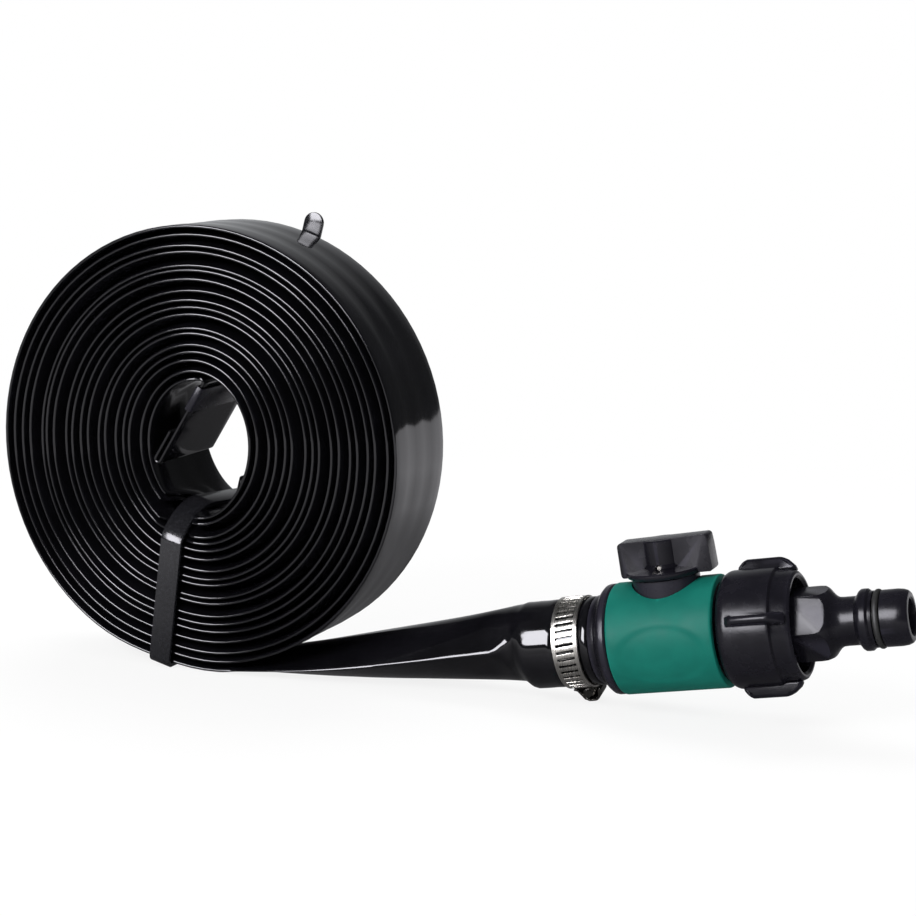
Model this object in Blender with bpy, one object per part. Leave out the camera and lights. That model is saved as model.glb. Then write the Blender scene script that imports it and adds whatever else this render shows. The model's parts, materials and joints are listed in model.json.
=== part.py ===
"""Flat soaker hose wound on a roll, ending in a worm clamp, a ball valve and a quick-connect nipple.

All lengths are in metres. The roll stands on its rim with its axis along Y, the hose leaves it along +X
and +Z is up. Pieces of the valve are modelled along the valve's own axis: distances called "along" start
at the middle of the clamp, distances called "radius" start at the axis.
"""
import math

import bmesh
import bpy
from mathutils import Matrix, Vector

MM = 0.001
GAP = 0.3 * MM                      # clearance between neighbouring solids
MERGE = 0.002 * MM                  # points closer than this are one point

# ---- hose ----
HOSE_WIDTH = 35.2 * MM              # lay-flat width
HOSE_THICKNESS = 1.9 * MM           # two walls, pressed flat
HOSE_WALL = 1.0 * MM
ROLL_RADIUS = 69.95 * MM
ROLL_X = 0.1 * MM                   # the roll's middle
ROLL_SINK = 0.2 * MM                # how much lower than round the roll lies
ROLL_HEIGHT = ROLL_RADIUS - ROLL_SINK
CORE_RADIUS_X = 15.7 * MM           # clear half sizes inside the innermost loop: the core is oval
CORE_RADIUS_Z = 19.3 * MM
CORE_X = 0.4 * MM
CORE_LIFT = 1.95 * MM               # how far the core's middle lies over the roll's
CORE_HEIGHT = ROLL_HEIGHT + CORE_LIFT
LOOP_POINTS = 24
LOOP_SEGMENTS = 420                 # 17 and a half loops
LEAD_SLOPE = math.radians(5.5)
ROLL_END_RUN = 20.0 * MM            # straight run where the outer loop leaves the roll
CORE_END_ANGLE = math.radians(3.5)  # direction of the inner end
CORE_END_RUN = 1.9 * MM             # straight run where the inner loop leaves the roll
LEAST_LOOP_GAP = 0.4 * MM

# ---- folded end inside the core ----
FOLD_THICKNESS = 1.2 * MM
FOLD_INSET = 0.9 * MM               # the folded end stays inside the hose's two edges
FOLD_WIDTH = HOSE_WIDTH - 2 * FOLD_INSET
FOLD_RADIUS = 1.0 * MM
FOLD_RUN = 0.4 * MM                 # straight run before the fold
FLAP_DIRECTION = math.radians(-121.8)
FLAP_LENGTH = 29.2 * MM
RETURN_RADIUS = 0.95 * MM
RETURN_LENGTH = 10.0 * MM
SLEEVE_WALL = 0.5 * MM
SLEEVE_LENGTH = 8.6 * MM
SLEEVE_START = 1.2 * MM             # distance from the fold to the sleeve

# ---- cable tie ----
TIE_WIDTH = 7.2 * MM
TIE_THICKNESS = 1.3 * MM
TIE_DIRECTION = math.radians(75.5)
TIE_FOOT_X = -13.3 * MM             # where the tie's middle meets the floor line
TIE_HEAD_WIDTH = 10.6 * MM
TIE_HEAD_LENGTH = 8.0 * MM
TIE_HEAD_DEPTH = 5.0 * MM
TIE_TAIL_WIDTH = 6.6 * MM
TIE_TAIL_PAST_RIM = 6.3 * MM
TIE_CORNER_INSIDE = 0.9 * MM
TIE_CORNER_OUTSIDE = 1.7 * MM
TIE_PULL = 1.1 * MM                 # how far the tight tie pulls the outer loops in at the bottom
TIE_PULL_ANGLE = math.radians(-102.5)
TIE_PULL_POWER = 40                 # how narrow the pulled-in place is

# ---- where the clamp and the valve lie ----
CLAMP_X = 120.1 * MM                # from the roll's axis to the middle of the clamp
VALVE_TILT = math.radians(10.5)     # nose up

# ---- clamp ----
BAND_MIDDLE = 0.5 * MM
BAND_WIDTH = 8.0 * MM
BAND_THICKNESS = 0.7 * MM
BAND_SLOTS = 40
SLOT_LENGTH = 4.8 * MM
HOUSING_WIDTH = 8.8 * MM
HOUSING_LENGTH = 7.2 * MM
HOUSING_HEIGHT = 4.0 * MM
HOUSING_TOP_WIDTH = 3.0 * MM
HOUSING_ANGLE = math.radians(12.0)   # from straight down towards the back
WORM_RADIUS = 1.6 * MM
WORM_THREAD = 0.35 * MM             # height of the thread
WORM_TURNS = 5
WORM_SIDES = 12
WORM_SLOT_WIDTH = 0.8 * MM
WORM_HEAD_RADIUS = 2.2 * MM
WORM_HEAD_LENGTH = 2.8 * MM

# ---- lead: the flat hose opens into a round one and is pushed over the barb ----
FREE_ROUND_RADIUS = 11.5 * MM
BARB_RADIUS = 11.3 * MM
BARB_ROOT_RADIUS = 10.6 * MM
BARB_START = -14.0 * MM             # along the valve's axis
BARB_TIP_DROP = 1.3 * MM
BARB_RIDGES = 3
BARB_RIDGE_BACK = 0.4 * MM
BARB_PITCH = 5.0 * MM
HOSE_END = 7.2 * MM
BULGE_BEFORE_BAND = 0.35 * MM       # the hose swells on both sides of the tight band
BULGE_AFTER_BAND = 0.45 * MM
STRETCH_LENGTH = 4.5 * MM           # the hose swells over this length as it takes the barb
LEAD_STATIONS = 11
LEAD_SIDES = 16

# ---- valve body and grip sleeve ----
CHAMBER_OUTER_RADIUS = 14.0 * MM
GRIP_WALL = 2.1 * MM
SLEEVE_RADIUS = CHAMBER_OUTER_RADIUS + GAP + GRIP_WALL
GRIP_EDGE = 0.6 * MM
GRIP_CUT_CLEARANCE = 0.4 * MM
FLANGE_RADIUS = SLEEVE_RADIUS - 0.2 * MM
FLANGE_START = 11.2 * MM
FLANGE_END = 13.9 * MM
FLANGE_CHAMFER = 0.7 * MM
FLARE_LENGTH = 1.6 * MM             # short cone between the hose's end and the flange
FLARE_RISE = 0.3 * MM
CHAMBER_RADIUS = 12.2 * MM
CHAMBER_START = 19.5 * MM
BODY_END = 45.5 * MM
INLET_RADIUS = 7.0 * MM
STEM_ALONG = 30.0 * MM
BOSS_RADIUS = 9.8 * MM
BOSS_TOP = SLEEVE_RADIUS + 1.1 * MM
BALL_RADIUS = 9.0 * MM
BALL_BORE_RADIUS = 5.5 * MM
SEAT_BORE_RADIUS = 5.8 * MM

# ---- stem and handle ----
STEM_RADIUS = 3.6 * MM
STEM_SHOULDER_RADIUS = 4.4 * MM
STEM_SHOULDER_TOP = 10.8 * MM
STEM_TOP = BOSS_TOP + 5.5 * MM
STEM_SEAL_HEIGHTS = (12.6 * MM, 15.6 * MM)
TANG_THICKNESS = 2.0 * MM
TANG_WIDTH = 7.0 * MM
TANG_DEPTH = 1.6 * MM
SEAL_WIRE_RADIUS = 0.55 * MM
SEAL_REACH = 0.25 * MM              # how far a stem seal stands out of its groove
HANDLE_DISC_RADIUS = 11.4 * MM
HANDLE_DISC_THICKNESS = 1.9 * MM
HANDLE_DISC_EDGE = 0.5 * MM
HANDLE_TOP = BOSS_TOP + 11.5 * MM
HANDLE_SHORT_ARM = 12.5 * MM
HANDLE_LONG_ARM = 15.7 * MM
HANDLE_THICKNESS = 6.6 * MM
HANDLE_CORNER = 1.6 * MM
HANDLE_ROUNDING = 0.8 * MM
HUB_RADIUS = 5.4 * MM
HUB_UNDER_TOP = 0.4 * MM
PIN_RADIUS = 0.8 * MM
PIN_SIDES = 12
PIN_INSET = 0.3 * MM                # the pin ends under the hub's surface
PIN_HEIGHT = BOSS_TOP + 3.1 * MM

# ---- tailpiece, swivel nut, washer ----
BODY_SEAL_WIRE_RADIUS = 0.7 * MM
BODY_SEAL_RADIUS = CHAMBER_RADIUS - GAP - BODY_SEAL_WIRE_RADIUS
BODY_GROOVE_OFFSET = 1.6 * MM       # from the tailpiece's inner end to its groove
NECK_RADIUS = 9.5 * MM
TAIL_BORE_RADIUS = 6.5 * MM
TAIL_FLANGE_RADIUS = 12.8 * MM
TAIL_FLANGE_START = 50.5 * MM
TAIL_FLANGE_END = 53.4 * MM
NUT_START = 46.3 * MM
NUT_END = 68.0 * MM
NUT_RADIUS = 17.0 * MM
NUT_RIM_RADIUS = 16.0 * MM
NUT_THREAD_RADIUS = 13.4 * MM
NUT_BORE_RADIUS = NECK_RADIUS + 0.4 * MM
NUT_SHOULDER_LENGTH = 4.0 * MM      # the rounded end towards the grip
NUT_SHOULDER_DROP = 2.6 * MM
NUT_RIM_LENGTH = 2.6 * MM           # the rounded end towards the nipple
NUT_MOUTH_CHAMFER = 0.8 * MM
LUG_COUNT = 4
LUG_TOP_RADIUS = 19.9 * MM
LUG_WIDTH = 3.6 * MM
LUG_ROOT_DEPTH = 1.5 * MM
LUG_START = 49.8 * MM
LUG_END = 67.6 * MM
LUG_ANGLE = math.radians(20.0)      # the front lug above the horizontal
WASHER_THICKNESS = 2.5 * MM
WASHER_BORE_RADIUS = 7.0 * MM
WASHER_RADIUS = TAIL_FLANGE_RADIUS - 0.2 * MM

# ---- nipple ----
NIPPLE_THREAD_RADIUS = 13.1 * MM
NIPPLE_THREAD_LENGTH = 8.0 * MM
HEX_ACROSS_FLATS = 19.0 * MM
HEX_ANGLE = math.radians(15.0)      # the front flat above the horizontal
HEX_END = 75.4 * MM
NIPPLE_NECK_START = 79.4 * MM
NIPPLE_NECK_RADIUS = 6.9 * MM
SHOULDER_START = 84.4 * MM
SHOULDER_END = 88.0 * MM
SHOULDER_RADIUS = 8.75 * MM
SHOULDER_RAMP = 1.0 * MM
SHOULDER_CHAMFER = 0.5 * MM
NOSE_RADIUS = 8.0 * MM
NIPPLE_END = 99.0 * MM
NIPPLE_TIP_RADIUS = 6.8 * MM
NOSE_ROUNDING = 2.4 * MM            # length of the rounded tip
NIPPLE_BORE_RADIUS = 4.9 * MM
NOSE_SEAL_ALONG = 90.2 * MM
NOSE_SEAL_WIRE_RADIUS = 0.9 * MM
NOSE_SEAL_RADIUS = 7.5 * MM

CUT_PAST = 1.0 * MM                 # how far a cutting shape reaches past the surface
FINE_SIDES = 32                     # sides of a large turned piece
COARSE_SIDES = 24                   # sides of a small turned piece
SEAL_SIDES = 20
WIRE_SIDES = 6

HOSE_ON_BARB_RADIUS = BARB_RADIUS + GAP + HOSE_WALL     # under the band
BAND_RADIUS = HOSE_ON_BARB_RADIUS + GAP + BAND_THICKNESS
HOUSING_BASE = BAND_RADIUS + GAP
HOUSING_TOP = HOUSING_BASE + HOUSING_HEIGHT
WORM_HEIGHT = HOUSING_BASE + WORM_RADIUS


# ---------------------------------------------------------------- scene and materials

def clear_scene():
    for obj in list(bpy.data.objects):
        bpy.data.objects.remove(obj, do_unlink=True)


def material(name, colour, roughness, metallic=0.0):
    mat = bpy.data.materials.new(name)
    mat.use_nodes = True
    shader = mat.node_tree.nodes["Principled BSDF"]
    shader.inputs["Base Color"].default_value = (*colour, 1.0)
    shader.inputs["Roughness"].default_value = roughness
    shader.inputs["Metallic"].default_value = metallic
    mat.diffuse_color = (*colour, 1.0)
    return mat


def hose_black():
    return material("hose_black", (0.008, 0.008, 0.010), 0.18)


def tie_black():
    return material("tie_black", (0.012, 0.012, 0.014), 0.35)


def moulded_black():
    return material("moulded_black", (0.020, 0.020, 0.024), 0.38)


def steel():
    return material("steel", (0.62, 0.60, 0.56), 0.30, 1.0)


def grip_green():
    return material("grip_green", (0.010, 0.150, 0.125), 0.50)


def seal_rubber():
    return material("seal_rubber", (0.015, 0.015, 0.015), 0.75)


def seat_white():
    return material("seat_white", (0.80, 0.80, 0.78), 0.45)


def ball_chrome():
    return material("ball_chrome", (0.70, 0.70, 0.70), 0.12, 1.0)


def empty(name, parent, place, turn=Matrix.Identity(4)):
    """A guide without a mesh that carries other objects."""
    obj = bpy.data.objects.new(name, None)
    bpy.context.scene.collection.objects.link(obj)
    obj.parent = parent
    obj.matrix_local = Matrix.Translation(place) @ turn
    return obj


def solid(name, bm, mat, parent, smooth_angle=30.0):
    """Turn a finished bmesh into a named object under its parent."""
    bmesh.ops.remove_doubles(bm, verts=bm.verts, dist=MERGE)
    bmesh.ops.recalc_face_normals(bm, faces=bm.faces)
    mesh = bpy.data.meshes.new(name)
    bm.to_mesh(mesh)
    bm.free()
    mesh.shade_smooth()
    mesh.set_sharp_from_angle(angle=math.radians(smooth_angle))
    obj = bpy.data.objects.new(name, mesh)
    bpy.context.scene.collection.objects.link(obj)
    if mat is not None:
        mesh.materials.append(mat)
    obj.parent = parent
    return obj


def tool(name, bm, parent):
    """A shape that only cuts or joins another one."""
    obj = solid(name, bm, None, parent)
    obj.hide_render = True
    obj.display_type = "WIRE"
    return obj


def boolean(obj, other, operation):
    mod = obj.modifiers.new(other.name, "BOOLEAN")
    mod.operation = operation
    mod.object = other
    mod.solver = "EXACT"


# ---------------------------------------------------------------- shape helpers

def add_turned(bm, outline, sides, hollow):
    """Spin an outline of (along, radius) points round the X axis. A hollow outline is a closed loop."""
    verts = [bm.verts.new((along, 0.0, radius)) for along, radius in outline]
    count = len(verts) if hollow else len(verts) - 1
    edges = [bm.edges.new((verts[i], verts[(i + 1) % len(verts)])) for i in range(count)]
    bmesh.ops.spin(bm, geom=verts + edges, cent=(0, 0, 0), axis=(1, 0, 0), dvec=(0, 0, 0),
                   angle=math.tau, steps=sides, use_merge=True, use_duplicate=False)


def turned(outline, sides, hollow=True):
    bm = bmesh.new()
    add_turned(bm, outline, sides, hollow)
    return bm


def wire_ring(along, radius, wire_radius):
    """Outline of a round seal whose wire has its middle at (along, radius)."""
    angles = [math.tau * i / WIRE_SIDES for i in range(WIRE_SIDES)]
    return [(along + wire_radius * math.cos(a), radius + wire_radius * math.sin(a)) for a in angles]


def add_loft(bm, rings):
    """Skin a list of rings with equal point counts and close both ends."""
    rows = [[bm.verts.new(point) for point in ring] for ring in rings]
    sides = len(rows[0])
    for row, after in zip(rows, rows[1:]):
        for i in range(sides):
            j = (i + 1) % sides
            bm.faces.new((row[i], row[j], after[j], after[i]))
    bm.faces.new(rows[0])
    bm.faces.new(reversed(rows[-1]))


def add_prism(bm, outline, frame, depth):
    """Extrude a flat outline of (a, b) points along the frame's third axis, half the depth each way."""
    low = [bm.verts.new(frame @ Vector((a, b, -depth / 2))) for a, b in outline]
    face = bm.faces.new(low)
    lifted = bmesh.ops.extrude_face_region(bm, geom=[face])["geom"]
    moved = [item for item in lifted if isinstance(item, bmesh.types.BMVert)]
    step = frame.to_3x3() @ Vector((0.0, 0.0, depth))
    bmesh.ops.translate(bm, verts=moved, vec=step)


def add_frame(bm, outer, inner, frame, depth):
    """A closed band between two outlines of (a, b) points, along the frame's third axis."""
    rows = []
    for outline, end in ((outer, -0.5), (outer, 0.5), (inner, 0.5), (inner, -0.5)):
        rows.append([bm.verts.new(frame @ Vector((a, b, end * depth))) for a, b in outline])
    sides = len(outer)
    for row, after in zip(rows, rows[1:] + rows[:1]):
        for i in range(sides):
            j = (i + 1) % sides
            bm.faces.new((row[i], row[j], after[j], after[i]))


def cut_rectangle(low, high, half, corner):
    """Outline of a rectangle from low to high with its four corners cut off."""
    return [(low + corner, -half), (high - corner, -half), (high, -half + corner), (high, half - corner),
            (high - corner, half), (low + corner, half), (low, half - corner), (low, -half + corner)]


def add_cylinder(bm, radius, start, end, sides, frame):
    """A plain cylinder along the frame's third axis."""
    middle = Matrix.Translation((0.0, 0.0, (start + end) / 2))
    bmesh.ops.create_cone(bm, cap_ends=True, segments=sides, radius1=radius, radius2=radius,
                          depth=end - start, matrix=frame @ middle)


def axes(x_axis, y_axis, origin=(0.0, 0.0, 0.0)):
    """A frame from two perpendicular directions and an origin."""
    x_axis, y_axis = Vector(x_axis), Vector(y_axis)
    frame = Matrix((x_axis, y_axis, x_axis.cross(y_axis))).transposed().to_4x4()
    return Matrix.Translation(origin) @ frame


def along_x():
    """Frame whose third axis is +X."""
    return axes((0.0, 1.0, 0.0), (0.0, 0.0, 1.0))


def along_y(origin=(0.0, 0.0, 0.0)):
    """Frame whose first axis is +X, second +Z and third -Y."""
    return axes((1.0, 0.0, 0.0), (0.0, 0.0, 1.0), origin)


# ---------------------------------------------------------------- hose

def heading(angle):
    return Vector((math.cos(angle), math.sin(angle)))


def left_of(direction):
    return Vector((-direction.y, direction.x))


def loop_angle(step):
    """Angle of a point of the roll, counted from the outer end."""
    return LEAD_SLOPE - math.pi / 2 - (LOOP_SEGMENTS - step) * math.tau / LOOP_POINTS


def loop_point(step):
    """Middle of the flat hose at a step of the winding, as (x, z)."""
    share = step / LOOP_SEGMENTS
    edge = Vector((HOSE_THICKNESS / 2,) * 2)
    inner = Vector((CORE_RADIUS_X, CORE_RADIUS_Z)) + edge
    outer = Vector((ROLL_RADIUS, ROLL_RADIUS)) - edge
    centre = Vector((CORE_X, CORE_HEIGHT)).lerp(Vector((ROLL_X, ROLL_HEIGHT)), share)
    angle = loop_angle(step)
    pull = TIE_PULL * share * max(0.0, math.cos(angle - TIE_PULL_ANGLE)) ** TIE_PULL_POWER
    return centre + heading(angle) * (inner.lerp(outer, share) - Vector((pull, pull)))


def winding():
    """Points of the roll from its inner end to its outer end, with a straight run at each."""
    points = [loop_point(step) for step in range(LOOP_SEGMENTS + 1)]
    inward = heading(CORE_END_ANGLE)
    outward = heading(LEAD_SLOPE)
    return [points[0] + inward * CORE_END_RUN] + points + [points[-1] + outward * ROLL_END_RUN]


def distance_to_run(point, start, end):
    run = end - start
    share = max(0.0, min(1.0, (point - start).dot(run) / run.length_squared))
    return (point - start - run * share).length


def least_loop_gap(points):
    """Smallest clear distance between neighbouring loops."""
    least = ROLL_RADIUS
    for i in range(len(points) - LOOP_POINTS - 2):
        for j in range(i + LOOP_POINTS - 3, min(i + LOOP_POINTS + 3, len(points) - 1)):
            least = min(least, distance_to_run(points[i], points[j], points[j + 1]))
    return least - HOSE_THICKNESS


def flat_section(point, side, width, thickness):
    """Six-sided section of the flat hose, as points in space."""
    edge = thickness / 2
    spots = ((-width / 2, 0.0), (-width / 2 + edge, edge), (width / 2 - edge, edge),
             (width / 2, 0.0), (width / 2 - edge, -edge), (-width / 2 + edge, -edge))
    return [Vector((point.x + side.x * off, y, point.y + side.y * off)) for y, off in spots]


def ribbon(points, width, thickness):
    """Sections of a flat hose that follows points in the XZ plane."""
    rings = []
    for i, point in enumerate(points):
        before = (point - points[i - 1]).normalized() if i else None
        after = (points[i + 1] - point).normalized() if i + 1 < len(points) else None
        before = before or after
        after = after or before
        middle = (before + after).normalized()
        side = left_of(middle) / max(0.5, middle.dot(after))
        rings.append(flat_section(point, side, width, thickness))
    return rings


def hose_coil(parent):
    points = winding()
    gap = least_loop_gap(points)
    print(f"least gap between loops: {gap / MM:.2f} mm (over {LEAST_LOOP_GAP / MM:.1f} mm wanted)")
    bm = bmesh.new()
    add_loft(bm, ribbon(points, HOSE_WIDTH, HOSE_THICKNESS))
    return solid("hose_coil", bm, hose_black(), parent)


def bend(start, direction, radius, turn, steps):
    """Points of an arc that leaves start along direction and turns by an angle, left if positive."""
    sense = 1.0 if turn > 0 else -1.0
    centre = start + left_of(heading(direction)) * radius * sense
    return [centre - left_of(heading(direction + turn * i / steps)) * radius * sense
            for i in range(1, steps + 1)]


def folded_path():
    """The hose turns back at the core's top, runs across the core and ends in a small fold."""
    direction = CORE_END_ANGLE
    start = winding()[0] + heading(direction) * GAP
    lead_in = start + heading(direction) * FOLD_RUN
    turn = (FLAP_DIRECTION - direction) % math.tau - math.tau
    points = [start, lead_in] + bend(lead_in, direction, FOLD_RADIUS, turn, 6)
    flap_start = points[-1]
    flap_end = flap_start + heading(FLAP_DIRECTION) * FLAP_LENGTH
    points.append(flap_end)
    points += bend(flap_end, FLAP_DIRECTION, RETURN_RADIUS, math.pi, 6)
    points.append(points[-1] - heading(FLAP_DIRECTION) * RETURN_LENGTH)
    return points, flap_start


def hose_folded_end(parent):
    bm = bmesh.new()
    add_loft(bm, ribbon(folded_path()[0], FOLD_WIDTH, FOLD_THICKNESS))
    return solid("hose_folded_end", bm, hose_black(), parent)


def end_sleeve(parent):
    """A flat sleeve that keeps the fold shut."""
    flap_start = folded_path()[1]
    direction = heading(FLAP_DIRECTION)
    middle = flap_start + direction * (SLEEVE_START + SLEEVE_LENGTH / 2)
    side = left_of(direction)
    frame = axes((side.x, 0.0, side.y), (0.0, 1.0, 0.0), (middle.x, 0.0, middle.y))
    thin, wide = FOLD_THICKNESS / 2 + GAP, FOLD_WIDTH / 2 + GAP
    wall = SLEEVE_WALL
    outer = cut_rectangle(-thin - wall, thin + wall, wide + wall, wall / 2)
    inner = cut_rectangle(-thin, thin, wide, wall / 4)
    bm = bmesh.new()
    add_frame(bm, outer, inner, frame, SLEEVE_LENGTH)
    return solid("end_sleeve", bm, moulded_black(), parent)


# ---------------------------------------------------------------- where the valve lies

def housing_profile():
    """Arched outline of the worm housing, as (distance from the band's middle, radius)."""
    half, top = HOUSING_WIDTH / 2, HOUSING_TOP_WIDTH / 2
    knee = HOUSING_BASE + HOUSING_HEIGHT * 0.25
    brow = HOUSING_BASE + HOUSING_HEIGHT * 0.85
    return [(half, HOUSING_BASE), (half, knee), ((half + top) / 2, brow), (top, HOUSING_TOP),
            (-top, HOUSING_TOP), (-(half + top) / 2, brow), (-half, knee), (-half, HOUSING_BASE)]


def valve_height():
    """Height of the axis at the clamp, with the worm housing on the floor."""
    reach = 0.0
    for along, radius in housing_profile():
        drop = radius * math.cos(HOUSING_ANGLE) + HOUSING_LENGTH / 2 * math.sin(HOUSING_ANGLE)
        place = BAND_MIDDLE + along
        reach = max(reach, drop * math.cos(VALVE_TILT) - place * math.sin(VALVE_TILT))
    return reach


def valve_turn():
    return Matrix.Rotation(-VALVE_TILT, 4, "Y")


def valve_frame():
    return Matrix.Translation((CLAMP_X, 0.0, valve_height())) @ valve_turn()


# ---------------------------------------------------------------- lead

def lead_ring(frame, width, height):
    """One section of the lead: an ellipse across the frame's first axis."""
    ring = []
    for i in range(LEAD_SIDES):
        angle = math.tau * i / LEAD_SIDES
        ring.append(frame @ Vector((0.0, width / 2 * math.cos(angle), height / 2 * math.sin(angle))))
    return ring


def valve_ring(along, radius):
    return lead_ring(valve_frame() @ Matrix.Translation((along, 0.0, 0.0)), 2 * radius, 2 * radius)


def bezier(start, handle_a, handle_b, end, share):
    rest = 1.0 - share
    return (start * rest ** 3 + handle_a * 3 * rest ** 2 * share
            + handle_b * 3 * rest * share ** 2 + end * share ** 3)


def hose_lead(parent):
    """Flat where it leaves the roll, round at the barb, and a tube over the barb."""
    free_end = BARB_START - STRETCH_LENGTH * 0.7
    start = winding()[-1] + heading(LEAD_SLOPE) * GAP
    start = Vector((start.x, 0.0, start.y))
    end = valve_frame() @ Vector((free_end, 0.0, 0.0))
    reach = (end - start).length / 3
    handle_a = start + Vector((math.cos(LEAD_SLOPE), 0.0, math.sin(LEAD_SLOPE))) * reach
    handle_b = valve_frame() @ Vector((free_end - reach, 0.0, 0.0))
    flat_around = 2 * (HOSE_WIDTH - HOSE_THICKNESS) + math.pi * HOSE_THICKNESS
    rings = []
    for i in range(LEAD_STATIONS + 1):
        share = i / LEAD_STATIONS
        place = bezier(start, handle_a, handle_b, end, share)
        slope = LEAD_SLOPE + (VALVE_TILT - LEAD_SLOPE) * share
        opened = 1.0 - (1.0 - share) ** 1.4
        height = HOSE_THICKNESS + (2 * FREE_ROUND_RADIUS - HOSE_THICKNESS) * opened
        width = (flat_around - math.pi * height) / 2 + height
        frame = Matrix.Translation(place) @ Matrix.Rotation(-slope, 4, "Y")
        rings.append(lead_ring(frame, max(width, height), height))
    swollen = BARB_START + STRETCH_LENGTH * 0.3
    before_band, after_band = BAND_MIDDLE - BAND_WIDTH / 2, BAND_MIDDLE + BAND_WIDTH / 2
    step = 2 * GAP
    for along, bulge in ((swollen, BULGE_BEFORE_BAND), (before_band - step, BULGE_BEFORE_BAND),
                         (before_band - GAP, 0.0), (after_band + GAP, 0.0),
                         (after_band + step, BULGE_AFTER_BAND), (HOSE_END, BULGE_AFTER_BAND)):
        rings.append(valve_ring(along, HOSE_ON_BARB_RADIUS + bulge))
    inner_radius = HOSE_ON_BARB_RADIUS - HOSE_WALL
    rings += [valve_ring(along, inner_radius) for along in (HOSE_END, swollen)]
    rings.append(valve_ring(BARB_START - GAP, FREE_ROUND_RADIUS - HOSE_WALL))
    rings.append(valve_ring(free_end, INLET_RADIUS))
    bm = bmesh.new()
    add_loft(bm, rings)
    return solid("hose_lead", bm, hose_black(), parent)


# ---------------------------------------------------------------- cable tie

def tie_span():
    """How far up the tie's line its four runs lie: outside the rim, inside the core, and the top rim."""
    line = heading(TIE_DIRECTION)
    foot = Vector((TIE_FOOT_X, 0.0))
    half = TIE_WIDTH / 2 + GAP
    parts = 6
    levels = []
    for step in range((LOOP_SEGMENTS + 1) * parts):
        low = int(step / parts)
        place = loop_point(low).lerp(loop_point(min(low + 1, LOOP_SEGMENTS)), step / parts - low)
        offset = place - foot
        if abs(offset.dot(left_of(line))) <= half:
            levels.append(offset.dot(line))
    edge = HOSE_THICKNESS / 2
    core_level = (Vector((CORE_X, CORE_HEIGHT)) - foot).dot(line)
    under_core = [level for level in levels if level < core_level]
    return min(levels) - edge, max(under_core) + edge, max(levels) + edge


def tie_frame():
    """First axis up the tie's line, second along +Y, third across the tie."""
    line = heading(TIE_DIRECTION)
    return axes((line.x, 0.0, line.y), (0.0, 1.0, 0.0), (TIE_FOOT_X, 0.0, 0.0))


def cable_tie(parent):
    rim, core, top = tie_span()
    side = HOSE_WIDTH / 2 + GAP
    low, high = rim - GAP, core + GAP
    thick = TIE_THICKNESS
    frame = tie_frame()
    loop = bmesh.new()
    outer = cut_rectangle(low - thick, high + thick, side + thick, TIE_CORNER_OUTSIDE)
    inner = cut_rectangle(low, high, side, TIE_CORNER_INSIDE)
    add_frame(loop, outer, inner, frame, TIE_WIDTH)
    cut = bmesh.ops.bisect_plane(loop, geom=loop.verts[:] + loop.edges[:] + loop.faces[:], dist=MERGE,
                                 plane_co=(0, 0, 0), plane_no=(0, 0, -1), clear_outer=True)
    rim_edges = [item for item in cut["geom_cut"] if isinstance(item, bmesh.types.BMEdge)]
    bmesh.ops.holes_fill(loop, edges=rim_edges, sides=0)
    tie = solid("cable_tie", loop, tie_black(), parent)

    tip = top + TIE_TAIL_PAST_RIM
    head_low = high + thick / 2 - TIE_HEAD_LENGTH / 2
    half = TIE_TAIL_WIDTH / 2
    taper = half * 0.4
    tail_outline = [(head_low, -half), (tip - half, -half), (tip - taper, -half * 0.8), (tip, -taper),
                    (tip, taper), (tip - taper, half * 0.8), (tip - half, half), (head_low, half)]
    tail_frame = frame @ axes((1.0, 0.0, 0.0), (0.0, 0.0, 1.0), (0.0, side + thick, 0.0))
    head_half = TIE_HEAD_WIDTH / 2
    head_outline = [(head_low, -head_half), (head_low + TIE_HEAD_LENGTH, -head_half),
                    (head_low + TIE_HEAD_LENGTH, head_half), (head_low, head_half)]
    head_frame = frame @ axes((1.0, 0.0, 0.0), (0.0, 0.0, 1.0), (0.0, side + TIE_HEAD_DEPTH / 2, 0.0))
    tail = bmesh.new()
    add_prism(tail, tail_outline, tail_frame, thick * 0.9)
    head = bmesh.new()
    add_prism(head, head_outline, head_frame, TIE_HEAD_DEPTH)
    boolean(tie, tool("tie_tail_shape", tail, parent), "UNION")
    boolean(tie, tool("tie_head_shape", head, parent), "UNION")
    return tie


# ---------------------------------------------------------------- clamp

def clamp_band(parent):
    """A steel band with slots through it, built column by column round the axis."""
    inner_radius = BAND_RADIUS - BAND_THICKNESS
    offsets = (-BAND_WIDTH / 2, -SLOT_LENGTH / 2, SLOT_LENGTH / 2, BAND_WIDTH / 2)
    edges = [BAND_MIDDLE + offset for offset in offsets]
    columns = 2 * BAND_SLOTS
    bm = bmesh.new()

    def spot(radius, along, column):
        angle = math.tau * column / columns
        return bm.verts.new((along, radius * math.sin(angle), radius * math.cos(angle)))

    grid = [[[spot(radius, along, column) for along in edges] for radius in (inner_radius, BAND_RADIUS)]
            for column in range(columns)]
    for column in range(columns):
        here, there = grid[column], grid[(column + 1) % columns]
        slotted = column % 2 == 0
        for lane in range(3):
            if slotted and lane == 1:
                continue
            for level in range(2):
                bm.faces.new((here[level][lane], here[level][lane + 1],
                              there[level][lane + 1], there[level][lane]))
        for rim in (0, 3):
            bm.faces.new((here[0][rim], here[1][rim], there[1][rim], there[0][rim]))
        if slotted:
            for rim in (1, 2):
                bm.faces.new((here[0][rim], here[1][rim], there[1][rim], there[0][rim]))
            for wall in (here, there):
                bm.faces.new((wall[0][1], wall[0][2], wall[1][2], wall[1][1]))
    return solid("clamp_band", bm, steel(), parent, 20.0)


def housing_frame():
    """First axis along the valve, second away from its axis, third along the worm towards the back."""
    down = (0.0, math.sin(HOUSING_ANGLE), -math.cos(HOUSING_ANGLE))
    return axes((1.0, 0.0, 0.0), down, (BAND_MIDDLE, 0.0, 0.0))


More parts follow.
